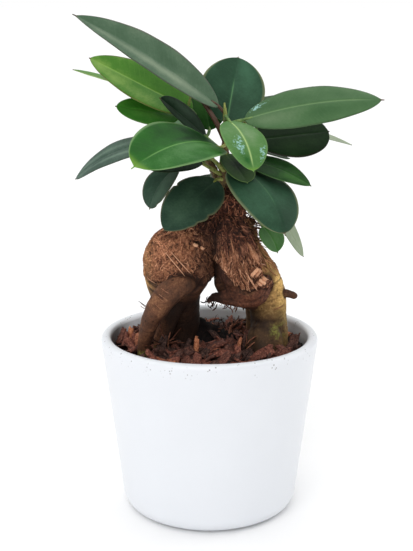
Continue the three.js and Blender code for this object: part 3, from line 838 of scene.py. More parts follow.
def trunk_masks(points, normals, place):
    """Where the trunk is shaggy, shredded, mossy, reddish or olive, and where painted light lifts it and
    painted shade darkens it, each from 0 to 1.
    """
    x, y, z = points.T
    left_edge = smoothstep(-29, -38, x)
    is_root = {name: (place["owner"] == i).astype(float) for i, name in enumerate(ROOTS)}
    wobble = 2.2 * noise(points, 7, 5) + 1.0 * noise(points, 2.5, 6)
    border = 139.5 + wobble + 3.0 * smoothstep(-26, -38, x) + 2.5 * smoothstep(-2, 6, x)
    legs = is_root["front_left_leg"] + is_root["back_left_leg"]
    bulb = smoothstep(border - 0.5, border + 0.5, z) * (1 - legs)
    bulb = bulb * smoothstep(5, 1, x) * (1 - 0.5 * left_edge)
    foot_lobes = sum(is_root[name] for name in FOOT_LOBES)
    right = is_root["right_leg"] + is_root["back_leg"] + is_root["side_stub"] + foot_lobes
    low_bark = is_root["knob"] + is_root["elbow"]
    flap = 137.5 + wobble + 18 * smoothstep(20, 2, x)
    torn_skin = is_root["cut_root"] + low_bark
    shred = torn_skin * smoothstep(flap - 0.5, flap + 0.5, z)
    under_flap = torn_skin * smoothstep(flap + 0.5, flap - 0.5, z) * smoothstep(22, 8, x)
    shred *= smoothstep(172, 165, z + wobble)
    high = smoothstep(160, 168, z + wobble)
    neck = np.clip(is_root["neck"] + high * (1 - shred), 0, 1) * smoothstep(165, 173, z + 0.4 * x + wobble)
    shaggy_right = right * smoothstep(147, 153, z + wobble) * (1 - neck)
    olive = np.clip(right, 0, 1) * smoothstep(14, 22, x) * (0.6 + 0.4 * smoothstep(32, 42, x + 0.5 * y))
    olive *= 1 - is_root["side_stub"] - 0.6 * smoothstep(124, 112, z) * smoothstep(46, 40, x)
    # Along the bulb's left edge the olive tone is partly its own colour and partly painted light, as where
    # light falls along that edge
    olive += 0.5 * left_edge * (1 - legs)
    # Painted light: the bulb is made lighter, most on its top and its left edge, and so is the upper right of
    # the right leg's front, as where light falls on them
    dry = (1 - legs) * smoothstep(8, 2, x) * smoothstep(132, 139, z) * smoothstep(3, -22, x)
    dry *= 0.5 + 0.8 * smoothstep(150, 163, z) + 0.6 * left_edge
    dry += is_root["right_leg"] * smoothstep(122, 132, z) * smoothstep(24, 32, x) * smoothstep(6, -2, y)
    damp = smoothstep(-0.1, 0.35, noise(points, 5, 9) + 0.4 * noise(points, 2, 10))
    foot = smoothstep(116, 112, z) * smoothstep(104, 108, z) * smoothstep(34, 38, x)
    foot += smoothstep(104, 99, z) * smoothstep(-30, -36, x)
    moss = damp * np.clip(foot + 0.2 * smoothstep(138, 112, z) * smoothstep(30, 42, x), 0, 1)
    cut_top = is_root["cut_root"] * smoothstep(157, 166, z + wobble)
    red = np.clip(low_bark + neck + 0.35 * is_root["inner_root"] + cut_top + under_flap, 0, 1)
    # Painted shade, summed below: under the arch, behind the trunk, under the flap, on the right leg's shaded
    # side and foot, beside the creases, along the bulb's border and on the front left leg's far flank. The
    # same sum also darkens the knob's tail, the side stub and the top of the cut root.
    left_roots = is_root["left_bulb"] + is_root["back_left_leg"]
    under_arch = smoothstep(-31, -23, x) * smoothstep(138, 124, z) * left_roots
    tail = low_bark * smoothstep(9, 3, x)
    shaded_side = 0.35 * smoothstep(36, 22, x) * smoothstep(148, 126, z)
    shaded_side += 1.3 * smoothstep(128, 112, z) * (1 - 0.5 * smoothstep(41, 47, x))
    shaded_side *= is_root["right_leg"]
    behind = is_root["back_leg"] + is_root["back_stump"] + 0.75 * is_root["inner_root"]
    foot_gloom = foot_lobes * (0.95 - 0.25 * smoothstep(36, 41, x))
    beside_crease = 0.6 * bulb * smoothstep(-12, 0, x) + 0.4 * is_root["cut_root"] * smoothstep(9, 4, x)
    border_shade = 0.7 * bulb * smoothstep(4, 0.5, z - border) * smoothstep(-36, -28, x) * smoothstep(0, -6, y)
    # The front left leg's flank that faces right, away from the light, and its low end get painted shade
    flank = 0.5 * smoothstep(0.1, 0.9, normals[:, 0]) + 0.25 * smoothstep(122, 100, z)
    painted_shade = under_arch + tail + 0.72 * shaded_side + 0.85 * behind + foot_gloom + beside_crease + border_shade
    painted_shade += (
        is_root["front_left_leg"] * flank + 0.4 * is_root["side_stub"] + 0.5 * under_flap + 0.35 * cut_top
    )
    painted_shade = painted_shade * smoothstep(30, 18, y) * (1 - 0.45 * moss) + 0.15 * noise(points, 6, 16)
    return {
        "crease": trunk_creases(place), "dry": np.clip(dry, 0, 1.3),
        "bulb": bulb, "shred": shred, "neck": neck, "shaggy_right": shaggy_right,
        "olive": olive, "moss": moss, "red": red, "stump": is_root["back_stump"],
        "painted_shade": np.clip(painted_shade, 0, 1), "bulb_lip": z - border, "flap_lip": z - flap,
        "cut": is_root["cut_root"] + low_bark, "legs": legs,
    }


def lip(distance):
    """A raised edge just above a border, and the groove under it."""
    raised = np.exp(-(((distance - 1.6) / 1.3) ** 2))
    groove = np.exp(-(((distance + 0.3) / 0.7) ** 2))
    return raised - 0.8 * groove, groove


def trunk_relief(points, place, mask):
    """How far each point of the trunk stands out, in millimetres, and how much painted shade darkens it."""
    run, turn = place["run"], place["turn"]
    flat = np.c_[run, turn, np.zeros(len(run))]
    slant = np.c_[0.8 * run + 0.6 * turn, 0.8 * turn - 0.6 * run, np.zeros(len(run))]
    counter = np.c_[0.6 * run - 0.8 * turn, 0.6 * turn + 0.8 * run, np.zeros(len(run))]
    net = np.maximum(ridges(slant, (5, 1.8, 1), 1, 3.7), ridges(counter, (5, 1.8, 1), 2, 3.7))
    net *= smoothstep(-0.35, 0.15, noise(points, 3.2, 17))
    torn = ridges(flat, (16, 1.8, 1), 4) + 0.5 * noise(flat, (9, 1.3, 1), 7) + 0.6 * noise(points, 4, 8)
    fine_ring = np.clip(-noise(flat, (1.3, 16, 1), 11) - 0.42, 0, 1)
    ring = fine_ring + 0.5 * np.clip(-noise(flat, (2.4, 10, 1), 12) - 0.4, 0, 1)
    pit = np.clip(noise(points, 1.6, 13) - 0.6, 0, 1)
    calm = 0.4 * noise(points, 9, 14) + 0.15 * noise(points, 3, 15)
    bulb, shred = mask["bulb"], mask["shred"]
    fray = np.clip(mask["neck"] + mask["shaggy_right"] + mask["stump"], 0, 1) * (1 - shred) * (1 - bulb)
    bare = np.clip(1 - bulb - shred - fray, 0, 1)
    knobbly = 0.45 * noise(points, 2.4, 3) + 0.4 * noise(points, 7, 18)
    out = bulb * (knobbly - 1.1 * net - 0.2) + shred * (1.3 * (torn - 0.45)) + fray * (1.3 * (torn - 0.5))
    out += bare * (calm - 0.9 * ring - 1.4 * pit - 0.25 + 0.6 * mask["cut"] * (torn - 0.5))
    # Painted shade in the hollows: between the bulb's fibres, in torn gaps, in rings and pits, under cut bark
    hollow = bulb * smoothstep(0.15, 0.7, net) + shred * smoothstep(0.6, 0.0, torn)
    hollow += fray * smoothstep(0.9, 0.2, torn) + bare * np.clip(1.6 * ring + 3 * pit, 0, 1)
    hollow += 0.5 * bare * mask["cut"] * smoothstep(0.5, 0.0, torn)
    left_side = smoothstep(5, 1, points[:, 0]) * (1 - mask["legs"]) * smoothstep(-42, -34, points[:, 0])
    for distance, where in ((mask["bulb_lip"], left_side), (mask["flap_lip"], np.clip(mask["cut"], 0, 1))):
        edge, groove = lip(distance)
        out += where * edge
        # The groove under each lip gets painted shade
        hollow += 0.9 * where * groove
    crease, hole = mask["crease"], trunk_holes(points)
    return out - 1.3 * crease - 2.0 * hole, np.clip(hollow + crease + 1.5 * hole, 0, 1)


# Where bark's dark, plain and light tones lie in the noise that picks between them
BARK_STOPS = (0.3, 0.52, 0.72)
CRACK_NET = 2.3


def cracks(shader):
    """Where a net of bent cracks runs, with meshes about CRACK_NET across."""
    slow = {"Vector": shader.place(), "Scale": 0.7 / (CRACK_NET * MM)}
    drift = shader.node("ShaderNodeTexNoise", slow, output="Color")
    moved = {0: drift, 1: (1.2 * CRACK_NET * MM,) * 3, 2: shader.place()}
    bent = shader.node("ShaderNodeVectorMath", moved, operation="MULTIPLY_ADD")
    meshes = {"Vector": bent, "Scale": 1 / (CRACK_NET * MM)}
    edge = shader.node("ShaderNodeTexVoronoi", meshes, output="Distance", feature="DISTANCE_TO_EDGE")
    return shader.times(shader.span(edge, 0.16, 0.03), shader.span(shader.noise(3), 0.4, 0.56))


def bark_material(name, tinted=False):
    """Bark whose painted layers choose between its colours. tinted is for loose fibres."""
    shader = Shader(name, IOR=1.4, Specular_IOR_Level=0.35)
    fine = shader.noise(1.3, 4, 0.65)
    broad = shader.noise(8, 4, 0.6)
    if tinted:
        patchy = shader.plus(shader.layer("tint"), shader.span(fine, 0.3, 0.7, -0.14, 0.14))
        straw = shader.ramp(patchy, (0.1, 0.5, 0.9), (86, 50, 35), (164, 110, 80), (226, 172, 136))
        rust = shader.ramp(patchy, (0.1, 0.55, 0.95), (52, 28, 22), (122, 72, 53), (214, 144, 112))
        colour = shader.mix(shader.layer("red"), straw, rust)
        colour = shader.mix(shader.times(shader.layer("olive"), 0.5), colour, srgb(156, 120, 72))
        cracked = 0.0
    else:
        grain = shader.plus(shader.times(broad, 0.55), shader.times(fine, 0.45))
        smooth_bark = shader.ramp(grain, BARK_STOPS, (52, 34, 25), (104, 68, 48), (162, 114, 80))
        olive_bark = shader.ramp(grain, BARK_STOPS, (88, 66, 38), (174, 138, 80), (240, 204, 130))
        red_bark = shader.ramp(fine, BARK_STOPS, (58, 30, 22), (98, 58, 41), (136, 86, 62))
        shaggy = shader.ramp(fine, BARK_STOPS, (88, 52, 35), (136, 90, 64), (182, 130, 94))
        torn = shader.ramp(fine, BARK_STOPS, (90, 52, 36), (152, 100, 72), (212, 154, 118))
        cracked = shader.times(cracks(shader), shader.layer("bulb"))
        colour = shader.mix(shader.layer("olive"), smooth_bark, olive_bark)
        colour = shader.mix(shader.layer("bulb"), colour, shaggy)
        colour = shader.mix(shader.times(cracked, 0.75), colour, srgb(84, 44, 30))
        colour = shader.mix(shader.layer("red"), colour, red_bark)
        colour = shader.mix(shader.layer("shred"), colour, torn)
    # Painted light: the bark's value is raised where the painted-light layer says
    gain = shader.math("MULTIPLY_ADD", shader.layer("dry"), 0.4, 1.0)
    colour = shader.node("ShaderNodeHueSaturation", {"Color": colour, "Value": gain})
    moss_tone = shader.ramp(fine, (0.3, 0.7), (60, 66, 28), (160, 164, 76))
    moss_share = shader.times(shader.layer("moss"), shader.span(fine, 0.35, 0.6, 0.3, 0.9))
    colour = shader.mix(moss_share, colour, moss_tone)
    # Painted shade: the bark turns towards a near-black shade tone where the shade layer says
    colour = shader.mix(shader.times(shader.layer("painted_shade"), 0.82), colour, srgb(30, 23, 21))
    # Painted shade in hollows, creases, holes and grooves, towards a near-black brown
    colour = shader.mix(shader.times(shader.layer("hollow"), 0.88), colour, srgb(36, 20, 14))
    grit = shader.math("SUBTRACT", shader.noise(0.9, 3, 0.6), cracked)
    rough = shader.span(broad, 0.3, 0.7, 0.66, 0.84)
    return shader.finish(Base_Color=colour, Normal=shader.bump(grit, 0.35, 0.6), Roughness=rough)


TRUNK_LAYERS = ("bulb", "shred", "olive", "moss", "red", "painted_shade", "dry")


def make_trunk():
    mesh = trunk_skin()
    edges = np.empty(len(mesh.edges) * 2, np.int64)
    mesh.edges.foreach_get("vertices", edges)
    edges = edges.reshape(-1, 2)
    points = relax(mesh_points(mesh), edges, MELT_ROUNDS)
    set_points(mesh, points)
    normals = mesh_normals(mesh)
    place = root_places(points)
    mask = trunk_masks(points, normals, place)
    relief, hollow = trunk_relief(points, place, mask)
    points = relax(points + normals * relief[:, None], edges, 1)
    set_points(mesh, points)
    mesh.materials.clear()
    thing = new_object("trunk_and_roots", smooth_shaded(mesh, bark_material("bark")))
    layers = {name: mask[name] for name in TRUNK_LAYERS}
    paint(thing, hollow=hollow, **layers)
    dress(thing, "bark", "roots_and_neck")
    return {
        "points": points, "normals": mesh_normals(mesh), "heading": place["heading"], "mask": mask,
        "tree": BVHTree.FromPolygons(points.tolist(), [tuple(p.vertices) for p in mesh.polygons]),
        "layers": layers,
    }


trunk = make_trunk()


# Loose fibres over the trunk

def dressed_strands(name, paths, normals, widths, thicknesses, layers, tint):
    """Strands in fibre bark. layers and tint hold one number a strand."""
    points, faces = strand_mesh(paths, normals, widths, thicknesses)
    thing = mesh_object(name, points, faces, fibre_bark)
    each = len(points) // len(paths)
    layers = {key: np.repeat(values, each) for key, values in layers.items()}
    paint(thing, tint=np.repeat(tint, each), hollow=np.zeros(len(points)), **layers)
    dress(thing, "bark")


def even_starts(random, weight, gap):
    """Vertices of the trunk, at most one in each cell of gap millimetres, chosen by weight from 0 to 1."""
    order = random.permutation(np.flatnonzero(weight > random.uniform(0, 1, len(weight))))
    _, first = np.unique(np.floor(trunk["points"][order] / gap), axis=0, return_index=True)
    return order[first]


def lay_fibres(name, weight, gap, seed, length, width, stray, lift, wander=0.12, light=(0, 1), room=None):
    """Loose fibres that follow the trunk's surface, one in each cell of gap millimetres where weight
    allows. stray is how far their heading leaves the root's own, in degrees: the least, how much it
    drifts over the surface, and its scatter. lift is how far the loose end stands off, wander how much
    they curl on the way, light how light they are, and room the length that each place has room for."""
    random = np.random.default_rng(seed)
    starts = even_starts(random, weight, gap)
    count = len(starts)
    steps = 7
    reach = random.uniform(*length, count)
    if room is not None:
        reach = np.minimum(reach, np.maximum(room[starts], 1.2))
    turn, drift, scatter = stray
    angle = turn + drift * noise(trunk["points"][starts], 11, seed) + random.uniform(-scatter, scatter, count)
    angle = np.radians(angle)
    paths, normals = np.empty((count, steps, 3)), np.empty((count, steps, 3))
    for i, start in enumerate(starts):
        point, normal = trunk["points"][start], trunk["normals"][start]
        heading = trunk["heading"][start]
        forward = unit(heading - normal * np.dot(heading, normal))
        forward = forward * math.cos(angle[i]) + np.cross(normal, forward) * math.sin(angle[i])
        loose = lift * random.uniform(0, 1) ** 3
        for k in range(steps):
            share = k / (steps - 1)
            paths[i, k] = point + normal * (0.14 + loose * share**2)
            normals[i, k] = normal
            found = trunk["tree"].find_nearest(Vector(point + forward * reach[i] / steps))
            following = np.array(found[0])
            normal = unit(0.6 * normal + 0.4 * np.array(found[1]))
            forward = unit(forward - normal * np.dot(forward, normal) + wander * random.normal(size=3))
            point = following
    widths = random.uniform(*width, count)
    thicknesses = 0.6 * random.uniform(*width, count)
    layers = {key: values[starts] for key, values in trunk["layers"].items()}
    dressed_strands(name, paths, normals, widths, thicknesses, layers, random.uniform(*light, count))


fibre_bark = bark_material("fibre_bark", tinted=True)


def make_fibres():
    mask = trunk["mask"]
    x, y, z = trunk["points"].T
    blocks = np.exp(-(((x - 27) / 4.5) ** 2) - ((z - 145) / 6) ** 2) * (y < 0)
    bare = np.clip(1.6 * trunk_holes(trunk["points"]) + 2 * mask["crease"] + 1.6 * blocks, 0, 1)
    bulb, shred, neck = (mask[key] * (1 - bare) for key in ("bulb", "shred", "neck"))
    shoulder = mask["shaggy_right"] * (1 - bare) * smoothstep(12, 18, x)
    bulb_room, flap_room = mask["bulb_lip"] + 0.5, mask["flap_lip"] + 1
    curly = {"wander": 0.32, "light": (0, 0.65), "room": bulb_room}
    lay_fibres("bulb_fibres_combed", bulb, 2.9, 21, (2.5, 7), (0.35, 0.65), (0, 80, 25), 0.35, **curly)
    lay_fibres("bulb_fibres_crossed", bulb, 3.8, 24, (2.5, 6), (0.35, 0.6), (70, 80, 25), 0.35, **curly)
    straight = {"wander": 0.2, "light": (0.05, 0.85), "room": flap_room}
    lay_fibres("shredded_fibres", shred, 1.8, 22, (4, 11), (0.35, 0.85), (0, 25, 16), 1.1, **straight)
    lay_fibres("neck_fibres", neck, 1.8, 23, (4, 10), (0.45, 0.9), (0, 90, 50), 2.2, 0.45, (0, 0.8))
    lay_fibres("right_fibres", shoulder, 2.4, 25, (4, 12), (0.5, 0.9), (0, 30, 40), 1.0, light=(0, 0.6))


make_fibres()


# Splinters, placed as seen from the front, and rootlets

# How far out on the viewer's side the rays start that find the trunk's front
FRONT_Y = -90
SPLINTER_THICKNESS = 0.35


def front(x, z):
    """The point of the trunk that the viewer's side sees at x and z, and the way it faces."""
    place, normal, _, _ = trunk["tree"].ray_cast(Vector((x, FRONT_Y, z)), Vector((0, 1, 0)))
    return np.array(place), np.array(normal)


def relax_line(points):
    """Evens out a line of points, with its ends left in place."""
    for _ in range(4):
        points[1:-1] = 0.5 * points[1:-1] + 0.25 * (points[:-2] + points[2:])
    return points


def plain_layers(count, **values):
    return {key: np.full(count, float(values.get(key, 0))) for key in TRUNK_LAYERS}


# Each splinter: x and z of its two ends, width, how far each end stands off, and lightness
SPLINTERS = [
    ((20.5, 167), (26.5, 155), 1.5, (0.3, 0.8), 0.45),
    ((21.6, 166), (27.5, 153), 1.5, (0.3, 0.9), 0.6),
    ((22.6, 164), (28.3, 152), 1.3, (0.3, 0.8), 0.5),
    ((25.4, 155.4), (31.6, 149.2), 0.9, (1.2, 2.4), 0.6),
    ((20, 150), (26.8, 136.8), 1.0, (1.0, 2.6), 0.75),
    ((17.8, 148.6), (21.6, 141.4), 0.8, (0.8, 1.4), 0.5),
    ((6, 164), (9, 154), 1.0, (0.5, 0.9), 0.5),
    ((12, 168), (15, 155), 0.9, (0.5, 1.0), 0.5),
    ((-36, 143.5), (-30.5, 140.4), 0.6, (0.6, 0.7), 0.7),
    ((29, 156), (32.5, 149), 0.7, (0.6, 0.8), 0.4),
    ((30.5, 155), (33.5, 147), 0.7, (0.6, 0.8), 0.2),
    ((37.5, 122.6), (44, 125), 0.7, (0.1, 0.2), 0.3),
    ((-22, 160.5), (-10.5, 147.5), 0.6, (0.8, 0.9), 0.85),
    ((-25.6, 160), (-14, 146.5), 0.6, (0.8, 0.9), 0.85),
    ((-27.5, 141), (-22.8, 138.6), 0.3, (0.04, 0.08), 0.5),
    ((-29, 138.2), (-23.6, 134.6), 0.3, (0.04, 0.08), 0.6),
    ((-29.6, 136.8), (-25.4, 133.6), 0.3, (0.04, 0.08), 0.45),
    ((-31.4, 133), (-27, 129.2), 0.3, (0.04, 0.08), 0.5),
]


def make_splinters():
    steps = 8
    paths, normals = [], []
    for start, stop, _, lift, _ in SPLINTERS:
        line = [np.array(start) + (np.array(stop) - start) * share for share in np.linspace(0, 1, steps)]
        places = [front(x, z) for x, z in line]
        facing = unit(np.mean([normal for _, normal in places], axis=0))
        stand = np.linspace(*lift, steps)
        points = [place + facing * height for (place, _), height in zip(places, stand)]
        paths.append(relax_line(np.array(points)))
        normals.append(np.tile(facing, (steps, 1)))
    widths = np.array([row[2] for row in SPLINTERS])
    tint = np.array([row[4] for row in SPLINTERS])
    thicknesses = np.full(len(SPLINTERS), SPLINTER_THICKNESS)
    layers = plain_layers(len(SPLINTERS), shred=1)
    dressed_strands("splinters", np.array(paths), np.array(normals), widths, thicknesses, layers, tint)


make_splinters()


def curl(random, start, heading, length, steps, wander):
    """A wandering line from start."""
    points = [np.array(start, float)]
    forward = unit(np.array(heading, float))
    for _ in range(steps - 1):
        forward = unit(forward + wander * random.normal(size=3))
        points.append(points[-1] + forward * length / (steps - 1))
    return np.array(points)


# Tangles of thin dark roots: low and high corners of the box that they start in, how many, their main
# heading, their length, how much they wander, and how red they are
TANGLES = [
    ((19, 4, 163), (28, 13, 179), 60, (0.5, 0.1, 0.3), (5, 12), 0.8, 0.3),
    ((-2, -8, 126), (5, -3, 129), 22, (-0.8, -0.1, -0.2), (3, 6), 0.5, 0.0),
    ((7, -9, 126), (22, -3, 128), 12, (0, 0.2, -1), (4, 9), 0.5, 0.6),
    ((-2, 14, 99), (22, 32, 103), 44, (0.3, 0, 0.8), (5, 12), 0.6, 0.6),
    ((-29, -13, 100), (-24, -8, 104), 16, (0.5, 0.1, 0.8), (7, 15), 0.2, 0.5),
    ((20, -14, 99), (25, -6, 104), 10, (0, -0.1, 1), (5, 10), 0.3, 0.6),
    ((-36, -22, 127), (-35, -20, 129), 3, (-1, 0, 0.1), (5, 7), 0.3, 0.3),
]


def make_rootlets():
    random = np.random.default_rng(33)
    steps = 9
    paths, red, widths = [], [], []
    for low, high, count, heading, length, wander, redness in TANGLES:
        for _ in range(count):
            start = random.uniform(low, high)
            stray = unit(np.array(heading) + 0.7 * random.normal(size=3))
            paths.append(curl(random, start, stray, random.uniform(*length), steps, 0.5 * wander))
            red.append(redness)
            widths.append(random.uniform(0.35, 0.85))
    paths, widths, red = np.array(paths), np.array(widths), np.array(red)
    normals = np.tile(np.array([0.0, -1.0, 0.15]), (*paths.shape[:2], 1))
    layers = plain_layers(len(paths), red=1)
    # Rootlets that are not red take the bark's near-black painted-shade tone
    layers["painted_shade"] = 1 - red
    dressed_strands("rootlets", paths, normals, widths, widths, layers, random.uniform(0, 1, len(paths)))


make_rootlets()


# Grafted stems

def stem_material():
    shader = Shader("greenwood", Roughness=0.55, IOR=1.4)
    fine = shader.noise(1.5, 4)
    colour = shader.ramp(fine, (0.3, 0.5, 0.7), (58, 40, 28), (94, 72, 42), (126, 108, 58))
    young = shader.ramp(fine, (0.3, 0.7), (96, 114, 52), (160, 164, 88))
    colour = shader.mix(shader.layer("young"), colour, young)
    colour = shader.mix(shader.layer("ruddy"), colour, shader.mix(fine, srgb(36, 25, 21), srgb(98, 68, 50)))
    normal = shader.bump(shader.noise(0.8, 3), 0.2, 0.5)
    return shader.finish(Base_Color=colour, Normal=normal)


# Short twigs between the stems: stations, how green and how ruddy each is
TWIGS = [
    ([(-4.5, -4, 209, 0.9), (0, -4.5, 206.5, 1), (7, -3, 202, 1.2)], 0.9, 0),
    ([(0, -4, 213, 0.9), (4, -4.5, 209.5, 1), (8.5, -3, 204, 1.2)], 1, 0),
    ([(-4, -1, 244, 1.2), (1, -4, 237, 1.4), (5, -5, 230, 1.5), (8.5, -3, 222, 1.5)], 0, 1),
]
STEM_SIDES = 16
TWIG_SIDES = 12
TWIG_RINGS = 24


def make_stems():
    parts, young, ruddy = [], [], []
    for order, stations in enumerate(STEMS.values()):
        rings = 14 * len(stations)
        shares = np.linspace(0, 1, rings)

        def knuckles(angle, share, order=order):
            """Low rings where leaves once grew."""
            wave = np.maximum(np.cos(2 * np.pi * (share * 9 + 0.3 * order)), 0) ** 8
            return 0.9 + 0.14 * wave + 0.03 * np.sin(3 * angle + order)

        parts.append(tube(stations, STEM_SIDES, rings, knuckles))
        young.append(np.repeat(smoothstep(0.55, 0.9, shares), STEM_SIDES))
        ruddy.append(np.zeros(STEM_SIDES * rings))
    for stations, green, red in TWIGS:
        points, faces = tube(stations, TWIG_SIDES, TWIG_RINGS)
        parts.append((points, faces))
        young.append(np.full(len(points), green))
        ruddy.append(np.full(len(points), red))
    points, faces = join_parts(parts)
    thing = mesh_object("graft_stem_bark", points, faces, stem_material())
    paint(thing, young=np.concatenate(young), ruddy=np.concatenate(ruddy))
    dress(thing, "greenwood", "graft_stems")


make_stems()


# Leaves

# Each look: the blade's deep, plain and sheen tones, its rib, its rim and its underside. Painted shade
# turns the blade to its deep tone, and painted sheen to its sheen tone
LOOKS = {
    "grey_green": (
        (42, 72, 46), (78, 104, 80), (128, 145, 120), (112, 138, 108), (78, 62, 60), (96, 122, 92),
    ),
    "slate": ((36, 60, 46), (58, 82, 70), (112, 136, 120), (92, 118, 96), (64, 64, 54), (84, 110, 88)),
    "young": ((34, 86, 16), (74, 129, 37), (142, 174, 84), (150, 190, 92), (110, 92, 60), (130, 168, 82)),
    "bright": ((24, 72, 16), (52, 110, 34), (88, 140, 60), (90, 140, 62), (90, 120, 60), (96, 142, 70)),
    "bright_deep": ((26, 72, 22), (54, 106, 40), (88, 136, 74), (96, 140, 74), (110, 140, 80), (96, 134, 72)),
    "mid": ((6, 50, 8), (30, 94, 18), (86, 134, 76), (118, 168, 92), (140, 176, 118), (82, 118, 70)),
    "glossy": ((28, 86, 26), (76, 122, 60), (124, 150, 110), (170, 198, 126), (110, 150, 86), (92, 128, 78)),
    "sheen": ((42, 82, 40), (66, 102, 60), (98, 124, 88), (122, 154, 102), (64, 86, 54), (92, 120, 82)),
    "dark": ((12, 28, 16), (26, 47, 30), (64, 88, 68), (62, 88, 58), (50, 50, 38), (58, 82, 54)),
    "dark_green": ((8, 24, 8), (15, 42, 12), (38, 68, 30), (56, 84, 48), (52, 42, 40), (54, 78, 48)),
    "mid_dark": ((12, 38, 12), (28, 66, 24), (62, 110, 46), (74, 116, 62), (92, 124, 78), (62, 94, 52)),
    "deep": ((26, 40, 32), (47, 70, 56), (82, 110, 88), (70, 98, 72), (112, 108, 78), (62, 88, 64)),
    "blue_green": ((22, 42, 30), (46, 76, 56), (66, 106, 80), (92, 138, 92), (138, 144, 104), (66, 96, 70)),
    "olive": ((22, 32, 25), (56, 80, 46), (78, 106, 62), (72, 98, 56), (112, 142, 80), (70, 94, 58)),
    "pale": (
        (120, 140, 104), (150, 164, 136), (172, 184, 158), (160, 178, 140), (112, 128, 96), (140, 156, 124),
    ),
}

# The looks that each slot takes in
SLOT_LOOKS = {
    "young_leaf": ("young", "bright", "bright_deep", "pale"),
    "mid_leaf": ("grey_green", "slate", "mid", "glossy", "sheen"),
    "dark_leaf": ("dark", "dark_green", "mid_dark", "deep", "blue_green", "olive"),
}
SLOT_OF = {look: slot for slot, looks in SLOT_LOOKS.items() for look in looks}

VEIN_GAP = 3.2
DROPLET = 1.7

# How far a blade's edge waves
RIPPLE = 0.15
BLADE_ROWS = 54
BLADE_COLUMNS = 27


def leaf_tones(shader, look):
    """The blade's colour, where its veins run, and where drops lie, painted with pale glints."""
    deep, plain, sheen, rib, rim, under = (srgb(*tone) for tone in LOOKS[look])
    drift = shader.span(shader.noise(13, 4), 0.3, 0.7, -0.22, 0.22)
    mottle = shader.span(shader.noise(1.3, 3), 0.3, 0.7, -0.08, 0.08)
    # The tone moves towards the deep tone for painted shade and towards the sheen tone for painted sheen, as
    # the bands say, with random drift and mottle
    tone = shader.plus(shader.plus(shader.layer("painted_light_and_shade"), drift), mottle)
    colour = shader.mix(shader.math("MULTIPLY", tone, -1.0, clamp=True), plain, deep)
    colour = shader.mix(shader.math("MAXIMUM", tone, 0.0, clamp=True), colour, sheen)
    wave = shader.math("SINE", shader.times(shader.layer("vein_run"), 2 * math.pi / VEIN_GAP))
    vein = shader.times(shader.span(wave, 0.8, 1.0), shader.span(shader.noise(8), 0.35, 0.65))
    colour = shader.mix(shader.times(vein, 0.09), colour, sheen)
    colour = shader.mix(shader.layer("rib"), colour, rib)
    colour = shader.mix(shader.layer("rim"), colour, rim)
    blots = shader.plus(shader.noise(DROPLET, 3, 0.7), shader.times(shader.layer("wet"), 0.24))
    glinting_drops = shader.times(shader.span(blots, 0.7, 0.8), shader.layer("wet"))
    # Painted glints: where drops lie the blade turns a pale blue-white, as drops reflect the light
    colour = shader.mix(shader.times(glinting_drops, 0.75), colour, srgb(158, 206, 198))
    back = shader.mix(shader.times(vein, 0.3), under, rib)
    colour = shader.mix(shader.layer("under"), colour, back)
    colour = shader.mix(shader.layer("fresh"), colour, srgb(118, 158, 52))
    brown = shader.mix(shader.span(shader.noise(2), 0.4, 0.6), srgb(98, 70, 52), srgb(66, 48, 40))
    return shader.mix(shader.layer("tip"), colour, brown), vein, glinting_drops


def leaf_material(look):
    gloss = 0.08 if SLOT_OF[look] == "dark_leaf" else 0.2
    shader = Shader("leaf_" + look, IOR=1.45, Specular_IOR_Level=gloss, Coat_Weight=0.02, Coat_Roughness=0.2)
    colour, vein, glinting_drops = leaf_tones(shader, look)
    relief = shader.plus(shader.times(vein, -0.5), shader.noise(0.7, 2))
    normal = shader.bump(relief, 0.05, 0.5)
    normal = shader.bump(glinting_drops, 0.3, 0.6, under=normal)
    # A random spread of roughness over the blade
    dry = shader.span(shader.noise(9), 0.3, 0.7, 0.4, 0.5)
    rough = shader.math("SUBTRACT", dry, shader.times(glinting_drops, 0.25))
    return shader.finish(Base_Color=colour, Normal=normal, Roughness=rough)


def stalk_material(name, tone, light):
    shader = Shader(name, Roughness=0.45, IOR=1.4)
    colour = shader.mix(shader.span(shader.noise(2.5), 0.3, 0.7), tone, light)
    return shader.finish(Base_Color=colour, Normal=shader.bump(shader.noise(0.8), 0.1, 0.4))


def leaf_directions(aim):
    """The ways that a blade's length, its width and its face point."""
    azimuth, rise, roll = (math.radians(v) for v in aim)
    ahead, up = np.array([math.cos(azimuth), math.sin(azimuth), 0]), np.array([0, 0, 1])
    along = math.cos(rise) * ahead + math.sin(rise) * up
    upright = math.cos(rise) * up - math.sin(rise) * ahead
    level = np.cross(upright, along)
    side = level * math.cos(roll) + upright * math.sin(roll)
    face = upright * math.cos(roll) - level * math.sin(roll)
    return along, side, face


def half_width(t, traits):
    """Half the blade's width at t, the share of its length. Past 1 it is the thin tip."""
    base, tip = traits["full"]
    length, width = traits["size"]
    widest = base / (base + tip)
    inside = np.clip(t, 0, 1)
    body = inside**base * (1 - inside) ** tip / (widest**base * (1 - widest) ** tip)
    end = 1 + traits["drip"] / length
    thin = 0.7 * np.clip((end - t) / (end - 0.95), 0, 1) ** 0.8 * (t > 0.5)
    return ((body * width / 2) ** 3 + thin**3) ** (1 / 3) + 0.12


def bitten(t, s, traits):
    """How much of the half width is left where dents cut into the edge."""
    left = np.ones_like(t + s)
    for at, edge, depth, reach in traits["bites"]:
        left -= depth * np.exp(-(((t - at) / reach) ** 2)) * (np.sign(s) == edge)
    return left


